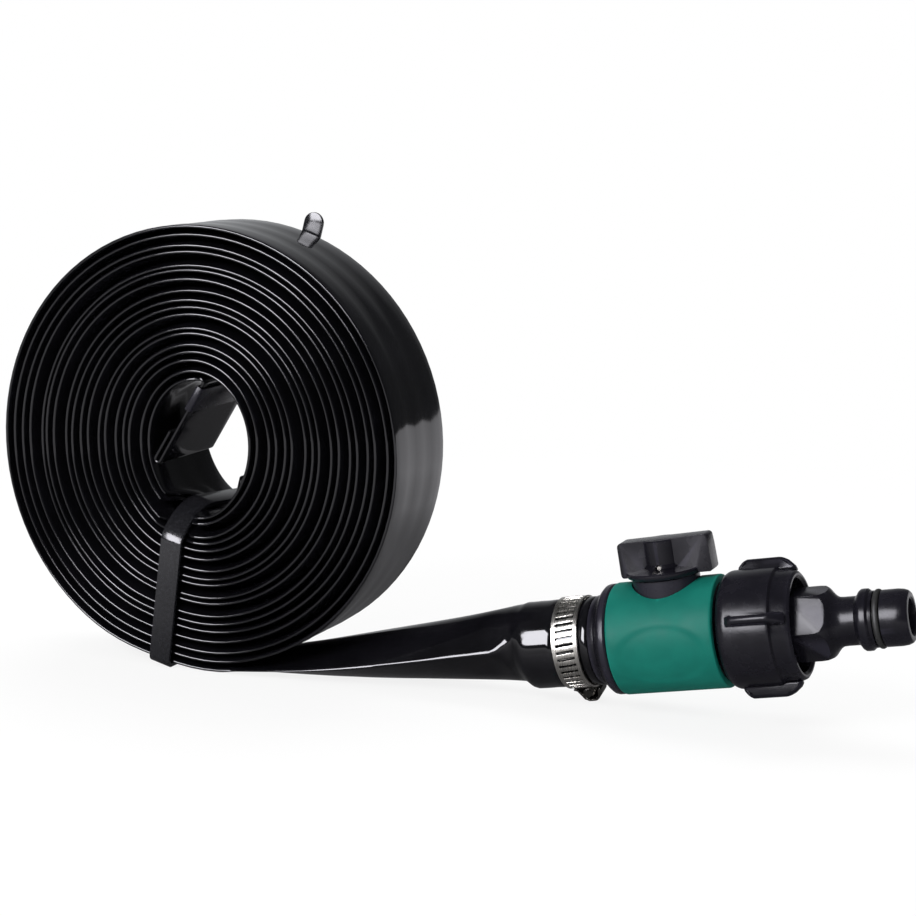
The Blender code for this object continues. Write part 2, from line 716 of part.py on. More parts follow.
def clamp_housing(parent):
    channel = WORM_RADIUS + GAP
    steps = 6
    arch = [(-channel * math.cos(math.pi * i / steps), WORM_HEIGHT + channel * math.sin(math.pi * i / steps))
            for i in range(steps + 1)]
    outline = housing_profile() + [(-channel, HOUSING_BASE)] + arch + [(channel, HOUSING_BASE)]
    bm = bmesh.new()
    add_prism(bm, outline, housing_frame(), HOUSING_LENGTH)
    return solid("clamp_housing", bm, steel(), parent)


def clamp_screw(parent):
    """A worm with a slotted head at the back, on an empty at the middle of its axis."""
    centre = housing_frame() @ Vector((0.0, WORM_HEIGHT, 0.0))
    turn = housing_frame().to_3x3().to_4x4()
    axis = empty("clamp_screw_axis", parent, centre, turn)
    half = HOUSING_LENGTH / 2
    root = WORM_RADIUS - WORM_THREAD
    outline = [(-half, 0.0), (-half, root)]
    for i in range(WORM_TURNS):
        crest = -half + HOUSING_LENGTH * (i + 0.5) / WORM_TURNS
        outline += [(crest - WORM_THREAD, root), (crest, WORM_RADIUS), (crest + WORM_THREAD, root)]
    head = half + GAP
    outline += [(head, root), (head, WORM_HEAD_RADIUS),
                (head + WORM_HEAD_LENGTH, WORM_HEAD_RADIUS), (head + WORM_HEAD_LENGTH, 0.0)]
    bm = turned(outline, WORM_SIDES, hollow=False)
    bm.transform(Matrix.Rotation(-math.pi / 2, 4, "Y"))
    screw = solid("clamp_screw", bm, steel(), axis)
    slot = bmesh.new()
    depth = WORM_HEAD_LENGTH * 0.4
    top = head + WORM_HEAD_LENGTH
    reach = WORM_HEAD_RADIUS * 1.2
    outline = [(-reach, top - depth), (reach, top - depth), (reach, top + depth), (-reach, top + depth)]
    add_prism(slot, outline, axes((1.0, 0.0, 0.0), (0.0, 0.0, 1.0)), WORM_SLOT_WIDTH)
    boolean(screw, tool("clamp_screw_slot", slot, axis), "DIFFERENCE")
    return screw


# ---------------------------------------------------------------- valve body

def barb_outline():
    """Outer line of the barb, from its tip to the flange."""
    points = [(BARB_START, BARB_RADIUS - BARB_TIP_DROP)]
    for i in range(BARB_RIDGES):
        crest = BARB_START + BARB_PITCH * (i + 0.5)
        points += [(crest, BARB_RADIUS), (crest + BARB_RIDGE_BACK, BARB_ROOT_RADIUS)]
    return points


def valve_body(parent, stem_axis):
    neck = HOSE_END + GAP
    flare = HOSE_ON_BARB_RADIUS + BULGE_AFTER_BAND
    edge = FLANGE_CHAMFER
    outline = [(BARB_START, 0.0)] + barb_outline() + [
        (neck, BARB_ROOT_RADIUS), (neck, flare), (neck + FLARE_LENGTH, flare + FLARE_RISE),
        (FLANGE_START - edge, FLANGE_RADIUS - edge), (FLANGE_START, FLANGE_RADIUS),
        (FLANGE_END - edge, FLANGE_RADIUS), (FLANGE_END, FLANGE_RADIUS - edge),
        (FLANGE_END, CHAMBER_OUTER_RADIUS), (BODY_END, CHAMBER_OUTER_RADIUS), (BODY_END, 0.0)]
    body = solid("valve_body", turned(outline, FINE_SIDES, hollow=False), moulded_black(), parent)
    low, high = BARB_START - CUT_PAST, BODY_END + CUT_PAST
    cavity = [(low, 0.0), (low, INLET_RADIUS), (CHAMBER_START, INLET_RADIUS),
              (CHAMBER_START, CHAMBER_RADIUS), (high, CHAMBER_RADIUS), (high, 0.0)]
    boss = bmesh.new()
    add_cylinder(boss, BOSS_RADIUS, 0.0, BOSS_TOP, FINE_SIDES, Matrix.Identity(4))
    hole = bmesh.new()
    add_cylinder(hole, STEM_RADIUS + GAP, 0.0, BOSS_TOP + CUT_PAST, COARSE_SIDES, Matrix.Identity(4))
    boolean(body, tool("body_boss", boss, stem_axis), "UNION")
    boolean(body, tool("body_cavity", turned(cavity, FINE_SIDES, hollow=False), parent), "DIFFERENCE")
    boolean(body, tool("body_stem_hole", hole, stem_axis), "DIFFERENCE")
    return body


def grip_sleeve(parent, stem_axis):
    start, end = FLANGE_END + GAP, BODY_END + GAP
    inner = CHAMBER_OUTER_RADIUS + GAP
    edge = GRIP_EDGE
    outline = [(start, inner), (start, SLEEVE_RADIUS - edge), (start + edge, SLEEVE_RADIUS),
               (end - edge, SLEEVE_RADIUS), (end, SLEEVE_RADIUS - edge), (end, inner)]
    sleeve = solid("grip_sleeve", turned(outline, FINE_SIDES), grip_green(), parent)
    window = bmesh.new()
    reach = SLEEVE_RADIUS * 1.2
    add_cylinder(window, BOSS_RADIUS + GRIP_CUT_CLEARANCE, 0.0, reach, FINE_SIDES, Matrix.Identity(4))
    boolean(sleeve, tool("grip_window", window, stem_axis), "DIFFERENCE")
    return sleeve


def seat_outline(wall, sense):
    """A seat that lies against wall and follows the ball, with sense towards the ball."""
    clear = BALL_RADIUS + GAP
    radii = (SEAT_BORE_RADIUS, (SEAT_BORE_RADIUS + clear * 0.86) / 2, clear * 0.86)
    face = [(STEM_ALONG - sense * math.sqrt(clear ** 2 - radius ** 2), radius) for radius in radii]
    outer = CHAMBER_RADIUS - GAP
    return [(wall, SEAT_BORE_RADIUS)] + face + [(face[-1][0], outer), (wall, outer)]


def ball_seats(parent):
    inlet = seat_outline(CHAMBER_START + GAP, 1.0)
    outlet = seat_outline(2 * STEM_ALONG - CHAMBER_START - GAP, -1.0)
    return [solid("ball_seat_inlet", turned(inlet, COARSE_SIDES), seat_white(), parent),
            solid("ball_seat_outlet", turned(outlet, COARSE_SIDES), seat_white(), parent)]


def tailpiece_start():
    return 2 * STEM_ALONG - CHAMBER_START


def tailpiece(parent):
    start = tailpiece_start()
    thread = CHAMBER_RADIUS - GAP
    groove_start = start + BODY_GROOVE_OFFSET
    groove_end = groove_start + 2 * (BODY_SEAL_WIRE_RADIUS + GAP)
    groove = BODY_SEAL_RADIUS - BODY_SEAL_WIRE_RADIUS - GAP
    outline = [(start, TAIL_BORE_RADIUS), (start, thread), (groove_start, thread), (groove_start, groove),
               (groove_end, groove), (groove_end, thread), (BODY_END, thread), (BODY_END, NECK_RADIUS),
               (TAIL_FLANGE_START, NECK_RADIUS), (TAIL_FLANGE_START, TAIL_FLANGE_RADIUS),
               (TAIL_FLANGE_END, TAIL_FLANGE_RADIUS), (TAIL_FLANGE_END, TAIL_BORE_RADIUS)]
    return solid("tailpiece", turned(outline, FINE_SIDES), moulded_black(), parent)


def body_oring(parent):
    middle = tailpiece_start() + BODY_GROOVE_OFFSET + BODY_SEAL_WIRE_RADIUS + GAP
    outline = wire_ring(middle, BODY_SEAL_RADIUS, BODY_SEAL_WIRE_RADIUS)
    return solid("body_oring", turned(outline, SEAL_SIDES), seal_rubber(), parent)


# ---------------------------------------------------------------- ball, stem and handle

def ball(axis):
    bm = bmesh.new()
    bmesh.ops.create_uvsphere(bm, u_segments=COARSE_SIDES, v_segments=12, radius=BALL_RADIUS)
    piece = solid("ball", bm, ball_chrome(), axis)
    bore = bmesh.new()
    add_cylinder(bore, BALL_BORE_RADIUS, -2 * BALL_RADIUS, 2 * BALL_RADIUS, COARSE_SIDES, along_x())
    slot = bmesh.new()
    half = TANG_WIDTH / 2 + GAP
    low = BALL_RADIUS - TANG_DEPTH - 2 * GAP
    outline = [(-half, low), (half, low), (half, 2 * BALL_RADIUS), (-half, 2 * BALL_RADIUS)]
    add_prism(slot, outline, along_y(), TANG_THICKNESS + 2 * GAP)
    boolean(piece, tool("ball_bore", bore, axis), "DIFFERENCE")
    boolean(piece, tool("ball_slot", slot, axis), "DIFFERENCE")
    return piece


def upright(bm):
    """Stand a piece that was turned along X on end, with its far end up."""
    bm.transform(Matrix.Rotation(-math.pi / 2, 4, "Y"))
    return bm


def stem(axis):
    shoulder = BALL_RADIUS + GAP
    groove = STEM_RADIUS - 2 * SEAL_WIRE_RADIUS
    half = SEAL_WIRE_RADIUS + GAP
    outline = [(shoulder, 0.0), (shoulder, STEM_SHOULDER_RADIUS), (STEM_SHOULDER_TOP, STEM_SHOULDER_RADIUS),
               (STEM_SHOULDER_TOP, STEM_RADIUS)]
    for height in STEM_SEAL_HEIGHTS:
        outline += [(height - half, STEM_RADIUS), (height - half, groove),
                    (height + half, groove), (height + half, STEM_RADIUS)]
    outline += [(STEM_TOP, STEM_RADIUS), (STEM_TOP, 0.0)]
    piece = solid("stem", upright(turned(outline, COARSE_SIDES, hollow=False)), moulded_black(), axis)
    tang = bmesh.new()
    low, high = BALL_RADIUS - TANG_DEPTH - GAP, (shoulder + STEM_SHOULDER_TOP) / 2
    wide = TANG_WIDTH / 2
    add_prism(tang, [(-wide, low), (wide, low), (wide, high), (-wide, high)], along_y(), TANG_THICKNESS)
    boolean(piece, tool("stem_tang", tang, axis), "UNION")
    boolean(piece, tool("stem_pin_hole", pin_hole(), axis), "DIFFERENCE")
    return piece


def stem_seals(axis):
    names = ("stem_oring_lower", "stem_oring_upper")
    radius = STEM_RADIUS - SEAL_WIRE_RADIUS + SEAL_REACH
    seals = []
    for name, height in zip(names, STEM_SEAL_HEIGHTS):
        bm = upright(turned(wire_ring(height, radius, SEAL_WIRE_RADIUS), SEAL_SIDES))
        seals.append(solid(name, bm, seal_rubber(), axis))
    return seals


def pin_hole():
    bm = bmesh.new()
    add_cylinder(bm, PIN_RADIUS + GAP, -BOSS_RADIUS, BOSS_RADIUS, PIN_SIDES, along_y((0.0, 0.0, PIN_HEIGHT)))
    return bm


def handle_pin(axis):
    bm = bmesh.new()
    reach = HUB_RADIUS - PIN_INSET
    add_cylinder(bm, PIN_RADIUS, -reach, reach, PIN_SIDES, along_y((0.0, 0.0, PIN_HEIGHT)))
    return solid("handle_pin", bm, steel(), axis)


def handle(axis):
    """A paddle on a round disc, with a hub that takes the stem."""
    base = BOSS_TOP + GAP
    disc_top = base + HANDLE_DISC_THICKNESS
    edge = HANDLE_DISC_EDGE
    wide = HANDLE_DISC_RADIUS
    disc = [(base, 0.0), (base, wide - edge), (base + edge, wide),
            (disc_top - edge, wide), (disc_top, wide - 1.4 * edge), (disc_top, 0.0)]
    piece = solid("handle", upright(turned(disc, FINE_SIDES, hollow=False)), moulded_black(), axis)
    corner = HANDLE_CORNER
    left, right = -HANDLE_SHORT_ARM, HANDLE_LONG_ARM
    low = (base + disc_top) / 2
    foot = disc_top - GAP
    top = HANDLE_TOP
    outline = [(-BOSS_RADIUS * 0.7, low), (BOSS_RADIUS * 0.7, low), (BOSS_RADIUS, foot), (right, foot),
               (right, top - 2 * corner), (right - 1.5 * corner, top), (left + corner, top),
               (left, top - corner), (left, foot), (-BOSS_RADIUS, foot)]
    paddle = bmesh.new()
    add_prism(paddle, outline, along_y(), HANDLE_THICKNESS)
    hub = bmesh.new()
    add_cylinder(hub, HUB_RADIUS, low, HANDLE_TOP - HUB_UNDER_TOP, COARSE_SIDES, Matrix.Identity(4))
    socket = bmesh.new()
    add_cylinder(socket, STEM_RADIUS + GAP, 0.0, STEM_TOP + GAP, COARSE_SIDES, Matrix.Identity(4))
    paddle_tool = tool("handle_paddle", paddle, axis)
    rounding = paddle_tool.modifiers.new("rounding", "BEVEL")
    rounding.width = HANDLE_ROUNDING
    rounding.segments = 1
    rounding.limit_method = "ANGLE"
    rounding.angle_limit = math.radians(60.0)
    boolean(piece, paddle_tool, "UNION")
    boolean(piece, tool("handle_hub", hub, axis), "UNION")
    boolean(piece, tool("handle_socket", socket, axis), "DIFFERENCE")
    boolean(piece, tool("handle_pin_hole", pin_hole(), axis), "DIFFERENCE")
    return piece


# ---------------------------------------------------------------- swivel nut, washer and nipple

def swivel_nut(parent):
    lip_end = TAIL_FLANGE_START - GAP
    shoulder, drop, rim, chamfer = NUT_SHOULDER_LENGTH, NUT_SHOULDER_DROP, NUT_RIM_LENGTH, NUT_MOUTH_CHAMFER
    outline = [(NUT_START, NUT_BORE_RADIUS), (NUT_START, NUT_RADIUS - drop),
               (NUT_START + shoulder * 0.35, NUT_RADIUS - drop * 0.35), (NUT_START + shoulder, NUT_RADIUS),
               (NUT_END - rim, NUT_RADIUS), (NUT_END - rim * 0.3, NUT_RIM_RADIUS + rim * 0.12),
               (NUT_END, NUT_RIM_RADIUS - rim * 0.24), (NUT_END, NUT_THREAD_RADIUS + chamfer),
               (NUT_END - chamfer, NUT_THREAD_RADIUS), (lip_end, NUT_THREAD_RADIUS),
               (lip_end, NUT_BORE_RADIUS)]
    nut = solid("swivel_nut", turned(outline, FINE_SIDES), moulded_black(), parent)
    height = LUG_TOP_RADIUS - NUT_RADIUS
    root = NUT_RADIUS - LUG_ROOT_DEPTH
    profile = [(LUG_START, root), (LUG_START + 0.4 * height, NUT_RADIUS + 0.5 * height),
               (LUG_START + height, LUG_TOP_RADIUS), (LUG_END - height, LUG_TOP_RADIUS),
               (LUG_END - 0.3 * height, NUT_RADIUS + 0.6 * height), (LUG_END, root)]
    lugs = bmesh.new()
    for i in range(LUG_COUNT):
        angle = LUG_ANGLE + math.tau * i / LUG_COUNT
        outward = (0.0, -math.cos(angle), math.sin(angle))
        add_prism(lugs, profile, axes((1.0, 0.0, 0.0), outward), LUG_WIDTH)
    boolean(nut, tool("nut_lugs", lugs, parent), "UNION")
    return nut


def nut_washer(parent):
    start = TAIL_FLANGE_END + GAP
    end = start + WASHER_THICKNESS
    outline = [(start, WASHER_BORE_RADIUS), (start, WASHER_RADIUS), (end, WASHER_RADIUS),
               (end, WASHER_BORE_RADIUS)]
    return solid("nut_washer", turned(outline, COARSE_SIDES), seal_rubber(), parent)


def nipple_start():
    return TAIL_FLANGE_END + WASHER_THICKNESS + 2 * GAP


def nipple(parent):
    start = nipple_start()
    thread_end = start + NIPPLE_THREAD_LENGTH
    half_seal = NOSE_SEAL_WIRE_RADIUS + GAP
    groove = NOSE_SEAL_RADIUS - NOSE_SEAL_WIRE_RADIUS - GAP
    round_radius = HEX_ACROSS_FLATS / math.sqrt(3)
    fillet = NIPPLE_NECK_START - HEX_END
    outline = [(start, 0.0), (start, NIPPLE_THREAD_RADIUS), (thread_end, NIPPLE_THREAD_RADIUS),
               (thread_end, round_radius), (HEX_END - 0.4 * fillet, round_radius),
               (HEX_END + 0.1 * fillet, 0.93 * round_radius),
               (HEX_END + 0.5 * fillet, NIPPLE_NECK_RADIUS + 0.38 * (round_radius - NIPPLE_NECK_RADIUS)),
               (NIPPLE_NECK_START, NIPPLE_NECK_RADIUS), (SHOULDER_START, NIPPLE_NECK_RADIUS),
               (SHOULDER_START + SHOULDER_RAMP, SHOULDER_RADIUS),
               (SHOULDER_END - SHOULDER_CHAMFER, SHOULDER_RADIUS),
               (SHOULDER_END, NOSE_RADIUS), (NOSE_SEAL_ALONG - half_seal, NOSE_RADIUS),
               (NOSE_SEAL_ALONG - half_seal, groove), (NOSE_SEAL_ALONG + half_seal, groove),
               (NOSE_SEAL_ALONG + half_seal, NOSE_RADIUS), (NIPPLE_END - NOSE_ROUNDING, NOSE_RADIUS),
               (NIPPLE_END - NOSE_ROUNDING / 3, NOSE_RADIUS - NOSE_ROUNDING / 5),
               (NIPPLE_END, NIPPLE_TIP_RADIUS), (NIPPLE_END, 0.0)]
    piece = solid("nipple", turned(outline, FINE_SIDES, hollow=False), moulded_black(), parent)
    hex_end = NIPPLE_NECK_START - 0.3 * fillet
    corners = [HEX_ANGLE + math.pi / 6 + math.pi / 3 * i for i in range(6)]
    hexagon = [(round_radius * math.cos(a), round_radius * math.sin(a)) for a in corners]
    around = [(2 * a, 2 * b) for a, b in hexagon]
    ring = bmesh.new()
    middle = ((thread_end + hex_end) / 2, 0.0, 0.0)
    add_frame(ring, around, hexagon, axes((0, -1, 0), (0, 0, 1), middle), hex_end - thread_end)
    low, high = start - CUT_PAST, NIPPLE_END + CUT_PAST
    bore = [(low, 0.0), (low, NIPPLE_BORE_RADIUS), (high, NIPPLE_BORE_RADIUS), (high, 0.0)]
    boolean(piece, tool("nipple_flats", ring, parent), "DIFFERENCE")
    boolean(piece, tool("nipple_bore", turned(bore, COARSE_SIDES, hollow=False), parent), "DIFFERENCE")
    return piece


def nipple_oring(parent):
    outline = wire_ring(NOSE_SEAL_ALONG, NOSE_SEAL_RADIUS, NOSE_SEAL_WIRE_RADIUS)
    return solid("nipple_oring", turned(outline, COARSE_SIDES), seal_rubber(), parent)


# ---------------------------------------------------------------- assembly

def centre_on_footprint(assembly, pieces):
    """Move the assembly so that its box stands on the origin."""
    bpy.context.view_layer.update()
    depsgraph = bpy.context.evaluated_depsgraph_get()
    spots = []
    for piece in pieces:
        shape = piece.evaluated_get(depsgraph)
        spots += [shape.matrix_world @ vertex.co for vertex in shape.to_mesh().vertices]
        shape.to_mesh_clear()
    low = [min(spot[i] for spot in spots) for i in range(3)]
    high = [max(spot[i] for spot in spots) for i in range(3)]
    assembly.location = (-(low[0] + high[0]) / 2, -(low[1] + high[1]) / 2, -low[2])
    bpy.context.view_layer.update()


def build():
    clear_scene()
    assembly = empty("assembly", None, (0.0, 0.0, 0.0))
    valve = empty("valve_axis", assembly, (CLAMP_X, 0.0, valve_height()), valve_turn())
    stem_axis = empty("handle_axis", valve, (STEM_ALONG, 0.0, 0.0))
    pieces = [hose_coil(assembly), hose_folded_end(assembly), end_sleeve(assembly), hose_lead(assembly),
              cable_tie(assembly), clamp_band(valve), clamp_housing(valve), clamp_screw(valve),
              valve_body(valve, stem_axis), grip_sleeve(valve, stem_axis), *ball_seats(valve),
              tailpiece(valve), body_oring(valve), ball(stem_axis), stem(stem_axis), *stem_seals(stem_axis),
              handle(stem_axis), handle_pin(stem_axis), swivel_nut(valve), nut_washer(valve),
              nipple(valve), nipple_oring(valve)]
    centre_on_footprint(assembly, pieces)


build()
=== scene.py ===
"""Flat soaker hose on a tied roll, with a worm clamp, a ball valve and a quick-connect nipple.

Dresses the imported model: every visible piece is modelled here around its CAD node, in metres. The roll's
winding lies in the XZ plane. Pieces of the valve are modelled along X, with X as the valve's axis and Z
towards its handle, and are then placed by VALVE.
"""
import functools
import json
import math

import bmesh
import bpy
from mathutils import Matrix, Vector


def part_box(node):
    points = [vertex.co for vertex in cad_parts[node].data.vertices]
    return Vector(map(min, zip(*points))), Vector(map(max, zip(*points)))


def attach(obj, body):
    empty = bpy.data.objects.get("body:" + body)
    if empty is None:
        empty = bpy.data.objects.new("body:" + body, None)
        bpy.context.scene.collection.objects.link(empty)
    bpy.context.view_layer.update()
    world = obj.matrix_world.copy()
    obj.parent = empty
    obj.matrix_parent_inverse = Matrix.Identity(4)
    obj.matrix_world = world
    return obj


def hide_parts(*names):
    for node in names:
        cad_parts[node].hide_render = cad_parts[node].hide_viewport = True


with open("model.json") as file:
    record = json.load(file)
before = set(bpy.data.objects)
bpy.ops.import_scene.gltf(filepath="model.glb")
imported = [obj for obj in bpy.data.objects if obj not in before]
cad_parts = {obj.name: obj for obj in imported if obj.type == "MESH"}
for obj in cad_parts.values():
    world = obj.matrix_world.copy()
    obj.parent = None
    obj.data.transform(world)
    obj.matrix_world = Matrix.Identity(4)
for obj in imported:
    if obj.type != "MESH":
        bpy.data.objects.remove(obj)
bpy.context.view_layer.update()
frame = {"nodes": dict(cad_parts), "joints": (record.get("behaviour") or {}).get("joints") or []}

bl_info = {
    "name": "Soaker hose with shut-off valve",
    "version": (1, 0, 0),
    "blender": (4, 5, 0),
    "location": "3D View > Sidebar > Hose",
    "description": "Models a tied roll of flat soaker hose with its clamp, valve and nipple",
    "category": "Object",
}

MM = 0.001
JOINTS = {joint["name"]: joint for joint in frame["joints"]}


# ---------------------------------------------------------------- places that come from the frame

def axes(x, z):
    """The turn that takes the X and Z axes to these directions."""
    return Matrix((x, z.cross(x), z)).transposed().to_4x4()


def valve_place():
    """Frame of the valve: X along its axis, Z towards the handle, the stem at STEM_ALONG."""
    along = -Vector(JOINTS["nut_turn"]["axis"]).normalized()
    up = Vector(JOINTS["lever_turn"]["axis"]).normalized()
    stem = Vector(JOINTS["lever_turn"]["pos_m"])
    return Matrix.Translation(stem - along * STEM_ALONG) @ axes(along, up)


def reach(node):
    """First and last place of a CAD node along the valve's axis, and its largest distance from it."""
    spots = [VALVE_INVERSE @ vertex.co for vertex in frame["nodes"][node].data.vertices]
    places = [spot.x for spot in spots]
    return min(places), max(places), max(math.hypot(spot.y, spot.z) for spot in spots)


STEM_ALONG = 30.0 * MM
VALVE = valve_place()
VALVE_INVERSE = VALVE.inverted()
VALVE_TILT = math.atan2(VALVE.col[0].z, VALVE.col[0].x)
HOSE_LOW, HOSE_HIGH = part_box("hose_coil")
HOSE_MIDDLE_Y = (HOSE_LOW.y + HOSE_HIGH.y) / 2
HOSE_HALF_WIDTH = (HOSE_HIGH.y - HOSE_LOW.y) / 2
BAND_START, BAND_END, BAND_OUTER = reach("clamp_band")
BODY_START, BODY_END = reach("valve_body")[:2]
GRIP_START, GRIP_END, GRIP_OUTER = reach("grip_sleeve")
NUT_START, NUT_END, LUG_OUTER = reach("swivel_nut")
NIPPLE_START, NIPPLE_END, NIPPLE_THREAD_OUTER = reach("nipple")

# the winding, in the XZ plane round the roll's middle
SIDES = 40
BEAD_STEPS = 8
LOOPS = 17.5
ROLL_RADIUS = 69.95 * MM
ROLL_MIDDLE = Vector((HOSE_LOW.x + 69.94 * MM, 69.75 * MM))
CORE_HALF_SIZE = Vector((15.7 * MM, 19.3 * MM))
CORE_OFFSET = Vector((0.3 * MM, 1.95 * MM))
LEAD_SLOPE = math.radians(5.5)
CAD_THICKNESS = 1.9 * MM
ROLL_END_RUN = 20.0 * MM
CORE_END_ANGLE = math.radians(3.5)
CORE_END_RUN = 2.6 * MM
FACE_CLEARANCE = 0.04 * MM
ROOM_FADE_TURNS = 0.08
CORE_SAG = 2.3 * MM
TIE_PULL = 1.1 * MM
TIE_PULL_ANGLE = math.radians(-102.5)
TIE_PULL_POWER = 40
FLOOR_GAP = 0.05 * MM

# the folded end in the core
FLAP_DIRECTION = math.radians(-121.8)
FLAP_LENGTH = 29.2 * MM
FOLD_RADIUS = 1.0 * MM
RETURN_RADIUS = 0.95 * MM
RETURN_LENGTH = 10.0 * MM

# the hose on its way to the barb and on it, along the valve's axis
BARB_START = -14.0 * MM
FREE_ROUND_RADIUS = 11.5 * MM
STRETCH_LENGTH = 4.5 * MM
OPENED_AT_START = 3.4 * MM
LEAD_LIFT = 1.0 * MM
CREASE_BEAD = 0.6 * MM
UPPER_FULLNESS = 0.27
BARB_PROFILE = (
    (-16.4, 11.62), (-15.6, 11.95), (-14.8, 12.45), (-14.0, 12.8), (-13.0, 12.95), (-11.5, 12.98), (-9.5, 13.0),
    (-7.5, 12.95), (-5.6, 13.02), (-4.6, 12.98), (-4.0, 12.70), (-3.3, 12.58), (0.5, 12.56), (4.2, 12.58),
    (4.9, 12.78), (5.5, 13.02), (6.4, 13.08), (7.0, 13.0), (7.2, 12.85), (7.2, 11.65), (5.5, 11.6),
    (-13.0, 11.6), (-14.3, 10.5), (-17.15, 7.0))
# middle angle in degrees, slant, width, length in mm and height in mm
DENTS = ((-8.0, 1.1, 1.6, 9.0, -0.55), (10.0, 1.6, 1.3, 8.0, 0.30), (34.0, 0.9, 2.0, 10.0, -0.35),
         (-30.0, -0.7, 2.4, 9.0, -0.30), (150.0, 1.0, 2.6, 9.0, -0.45), (205.0, -0.8, 2.0, 8.0, 0.3))

# the tie
TIE_FOOT = Vector((-13.3 * MM + ROLL_MIDDLE.x, 0.0))
TIE_DIRECTION = math.radians(75.5)
TIE_WIDTH = 7.2 * MM
TIE_THICKNESS = 1.3 * MM
TIE_CORNER = 1.6 * MM
TIE_BEND = [Vector(spot) * MM for spot in ((0.0, -11.5), (0.0, -9.0), (8.0, -0.2), (15.0, 0.0))]
TIE_BEND_STEPS = 18
TIE_FRONT_SHEAR = 0.125

# valve, handle and nut, along the valve's axis or out from it
FLANGE_OUTER = 16.2 * MM
STEM_HOLE = 3.9 * MM
PIN_HEIGHT = 20.6 * MM
WORM_HALF_LENGTH = 3.6 * MM
LUG_ANGLE = math.radians(20.0)
LUG_TOP_SHARE = 0.62

# the camera that took the view, in the row frame
CAMERA_PLACE = (0.2374, -0.55758, 0.17484)
CAMERA_TURN_DEGREES = (80.1603, -0.4613, 22.6822)
CAMERA_LENS = 80.38
CAMERA_SENSOR = 36.0


# ---------------------------------------------------------------- settings

def length(name, description, value):
    return bpy.props.FloatProperty(name=name, description=description, default=value, min=0.0,
                                   unit="LENGTH", subtype="DISTANCE", precision=5)


def count(name, description, value, least):
    return bpy.props.IntProperty(name=name, description=description, default=value, min=least)


def level(name, description, value, **kind):
    return bpy.props.FloatProperty(name=name, description=description, default=value, min=0.0, **kind)


def colour(name, description, value):
    return bpy.props.FloatVectorProperty(name=name, description=description, default=value, size=3,
                                         min=0.0, max=1.0, subtype="COLOR")


class HoseSettings(bpy.types.PropertyGroup):
    thickness: length("Thickness", "Thickness of the flattened hose", 0.95 * MM)
    unevenness: length("Unevenness", "How far the loops stray from an even spiral", 1.08 * MM)
    sideways: length("Sideways stray", "How far the loops' edges stand out of line", 0.4 * MM)
    rib_depth: length("Rib depth", "Depth of the soft ribs along the hose", 0.09 * MM)
    fold_thickness: length("Fold thickness", "Thickness of the pressed end of the hose", 1.1 * MM)
    loop_steps: count("Loop steps", "Sections in one loop", 96, 24)


class FittingSettings(bpy.types.PropertyGroup):
    band_slots: count("Band slots", "Slots round the clamp band", 40, 12)
    slot_slant: bpy.props.FloatProperty(name="Slot slant", description="Slant of the slots across the band",
                                        default=math.radians(1.0), unit="ROTATION", subtype="ANGLE")
    recess_depth: length("Recess depth", "Depth of the thumb recess in the grip", 0.4 * MM)
    nut_radius: length("Nut radius", "Radius of the swivel nut between its lugs", 17.0 * MM)
    lug_width: length("Lug width", "Width of a lug on the swivel nut", 3.6 * MM)
    handle_thickness: length("Handle thickness", "Thickness of the handle's paddle", 6.6 * MM)


class FinishSettings(bpy.types.PropertyGroup):
    film: colour("Hose film", "Colour of the hose", (0.0035, 0.0034, 0.0045))
    nylon: colour("Tie nylon", "Colour of the tie", (0.010, 0.010, 0.012))
    moulded: colour("Moulded black", "Colour of the moulded black parts", (0.0075, 0.0070, 0.0105))
    grip: colour("Grip green", "Colour of the grip", (0.006, 0.150, 0.116))
    steel: colour("Steel", "Colour of the clamp", (0.62, 0.60, 0.55))
    rubber: colour("Rubber", "Colour of the seals", (0.014, 0.014, 0.014))
    seat: colour("Seat", "Colour of the ball seats", (0.80, 0.80, 0.78))


class StageSettings(bpy.types.PropertyGroup):
    key_power: level("Window light", "Power of the window-like light", 9.0, unit="POWER")
    fill_power: level("Fill light", "Power of the overhead light", 7.0, unit="POWER")
    card_level: level("Card level", "Brightness of the card in reflections", 20.0)
    room_level: level("Room level", "Brightness of the world's light", 0.55)


# ---------------------------------------------------------------- modelling by operators

def start_fresh():
    """Leave edit mode and deselect everything."""
    if bpy.context.mode != "OBJECT":
        bpy.ops.object.mode_set(mode="OBJECT")
    bpy.ops.object.select_all(action="DESELECT")


def activate(obj):
    start_fresh()
    obj.select_set(True)
    bpy.context.view_layer.objects.active = obj


def edit(obj):
    activate(obj)
    bpy.ops.object.mode_set(mode="EDIT")


def primitive(add, name, at=(0.0, 0.0, 0.0), turn=(0.0, 0.0, 0.0), scale=(1.0, 1.0, 1.0), **sizes):
    """Add a primitive, name it and apply its place to its mesh."""
    start_fresh()
    add(location=at, rotation=turn, **sizes)
    obj = bpy.context.active_object
    obj.name = obj.data.name = name
    obj.scale = scale
    bpy.ops.object.transform_apply(location=True, rotation=True, scale=True)
    return obj


def rod(name, vertices, radius, depth, at, turn=(0.0, 0.0, 0.0)):
    return primitive(bpy.ops.mesh.primitive_cylinder_add, name, at, turn, vertices=vertices,
                     radius=radius, depth=depth)


def block(name, sizes, at=(0.0, 0.0, 0.0)):
    return primitive(bpy.ops.mesh.primitive_cube_add, name, at, scale=sizes, size=1.0)


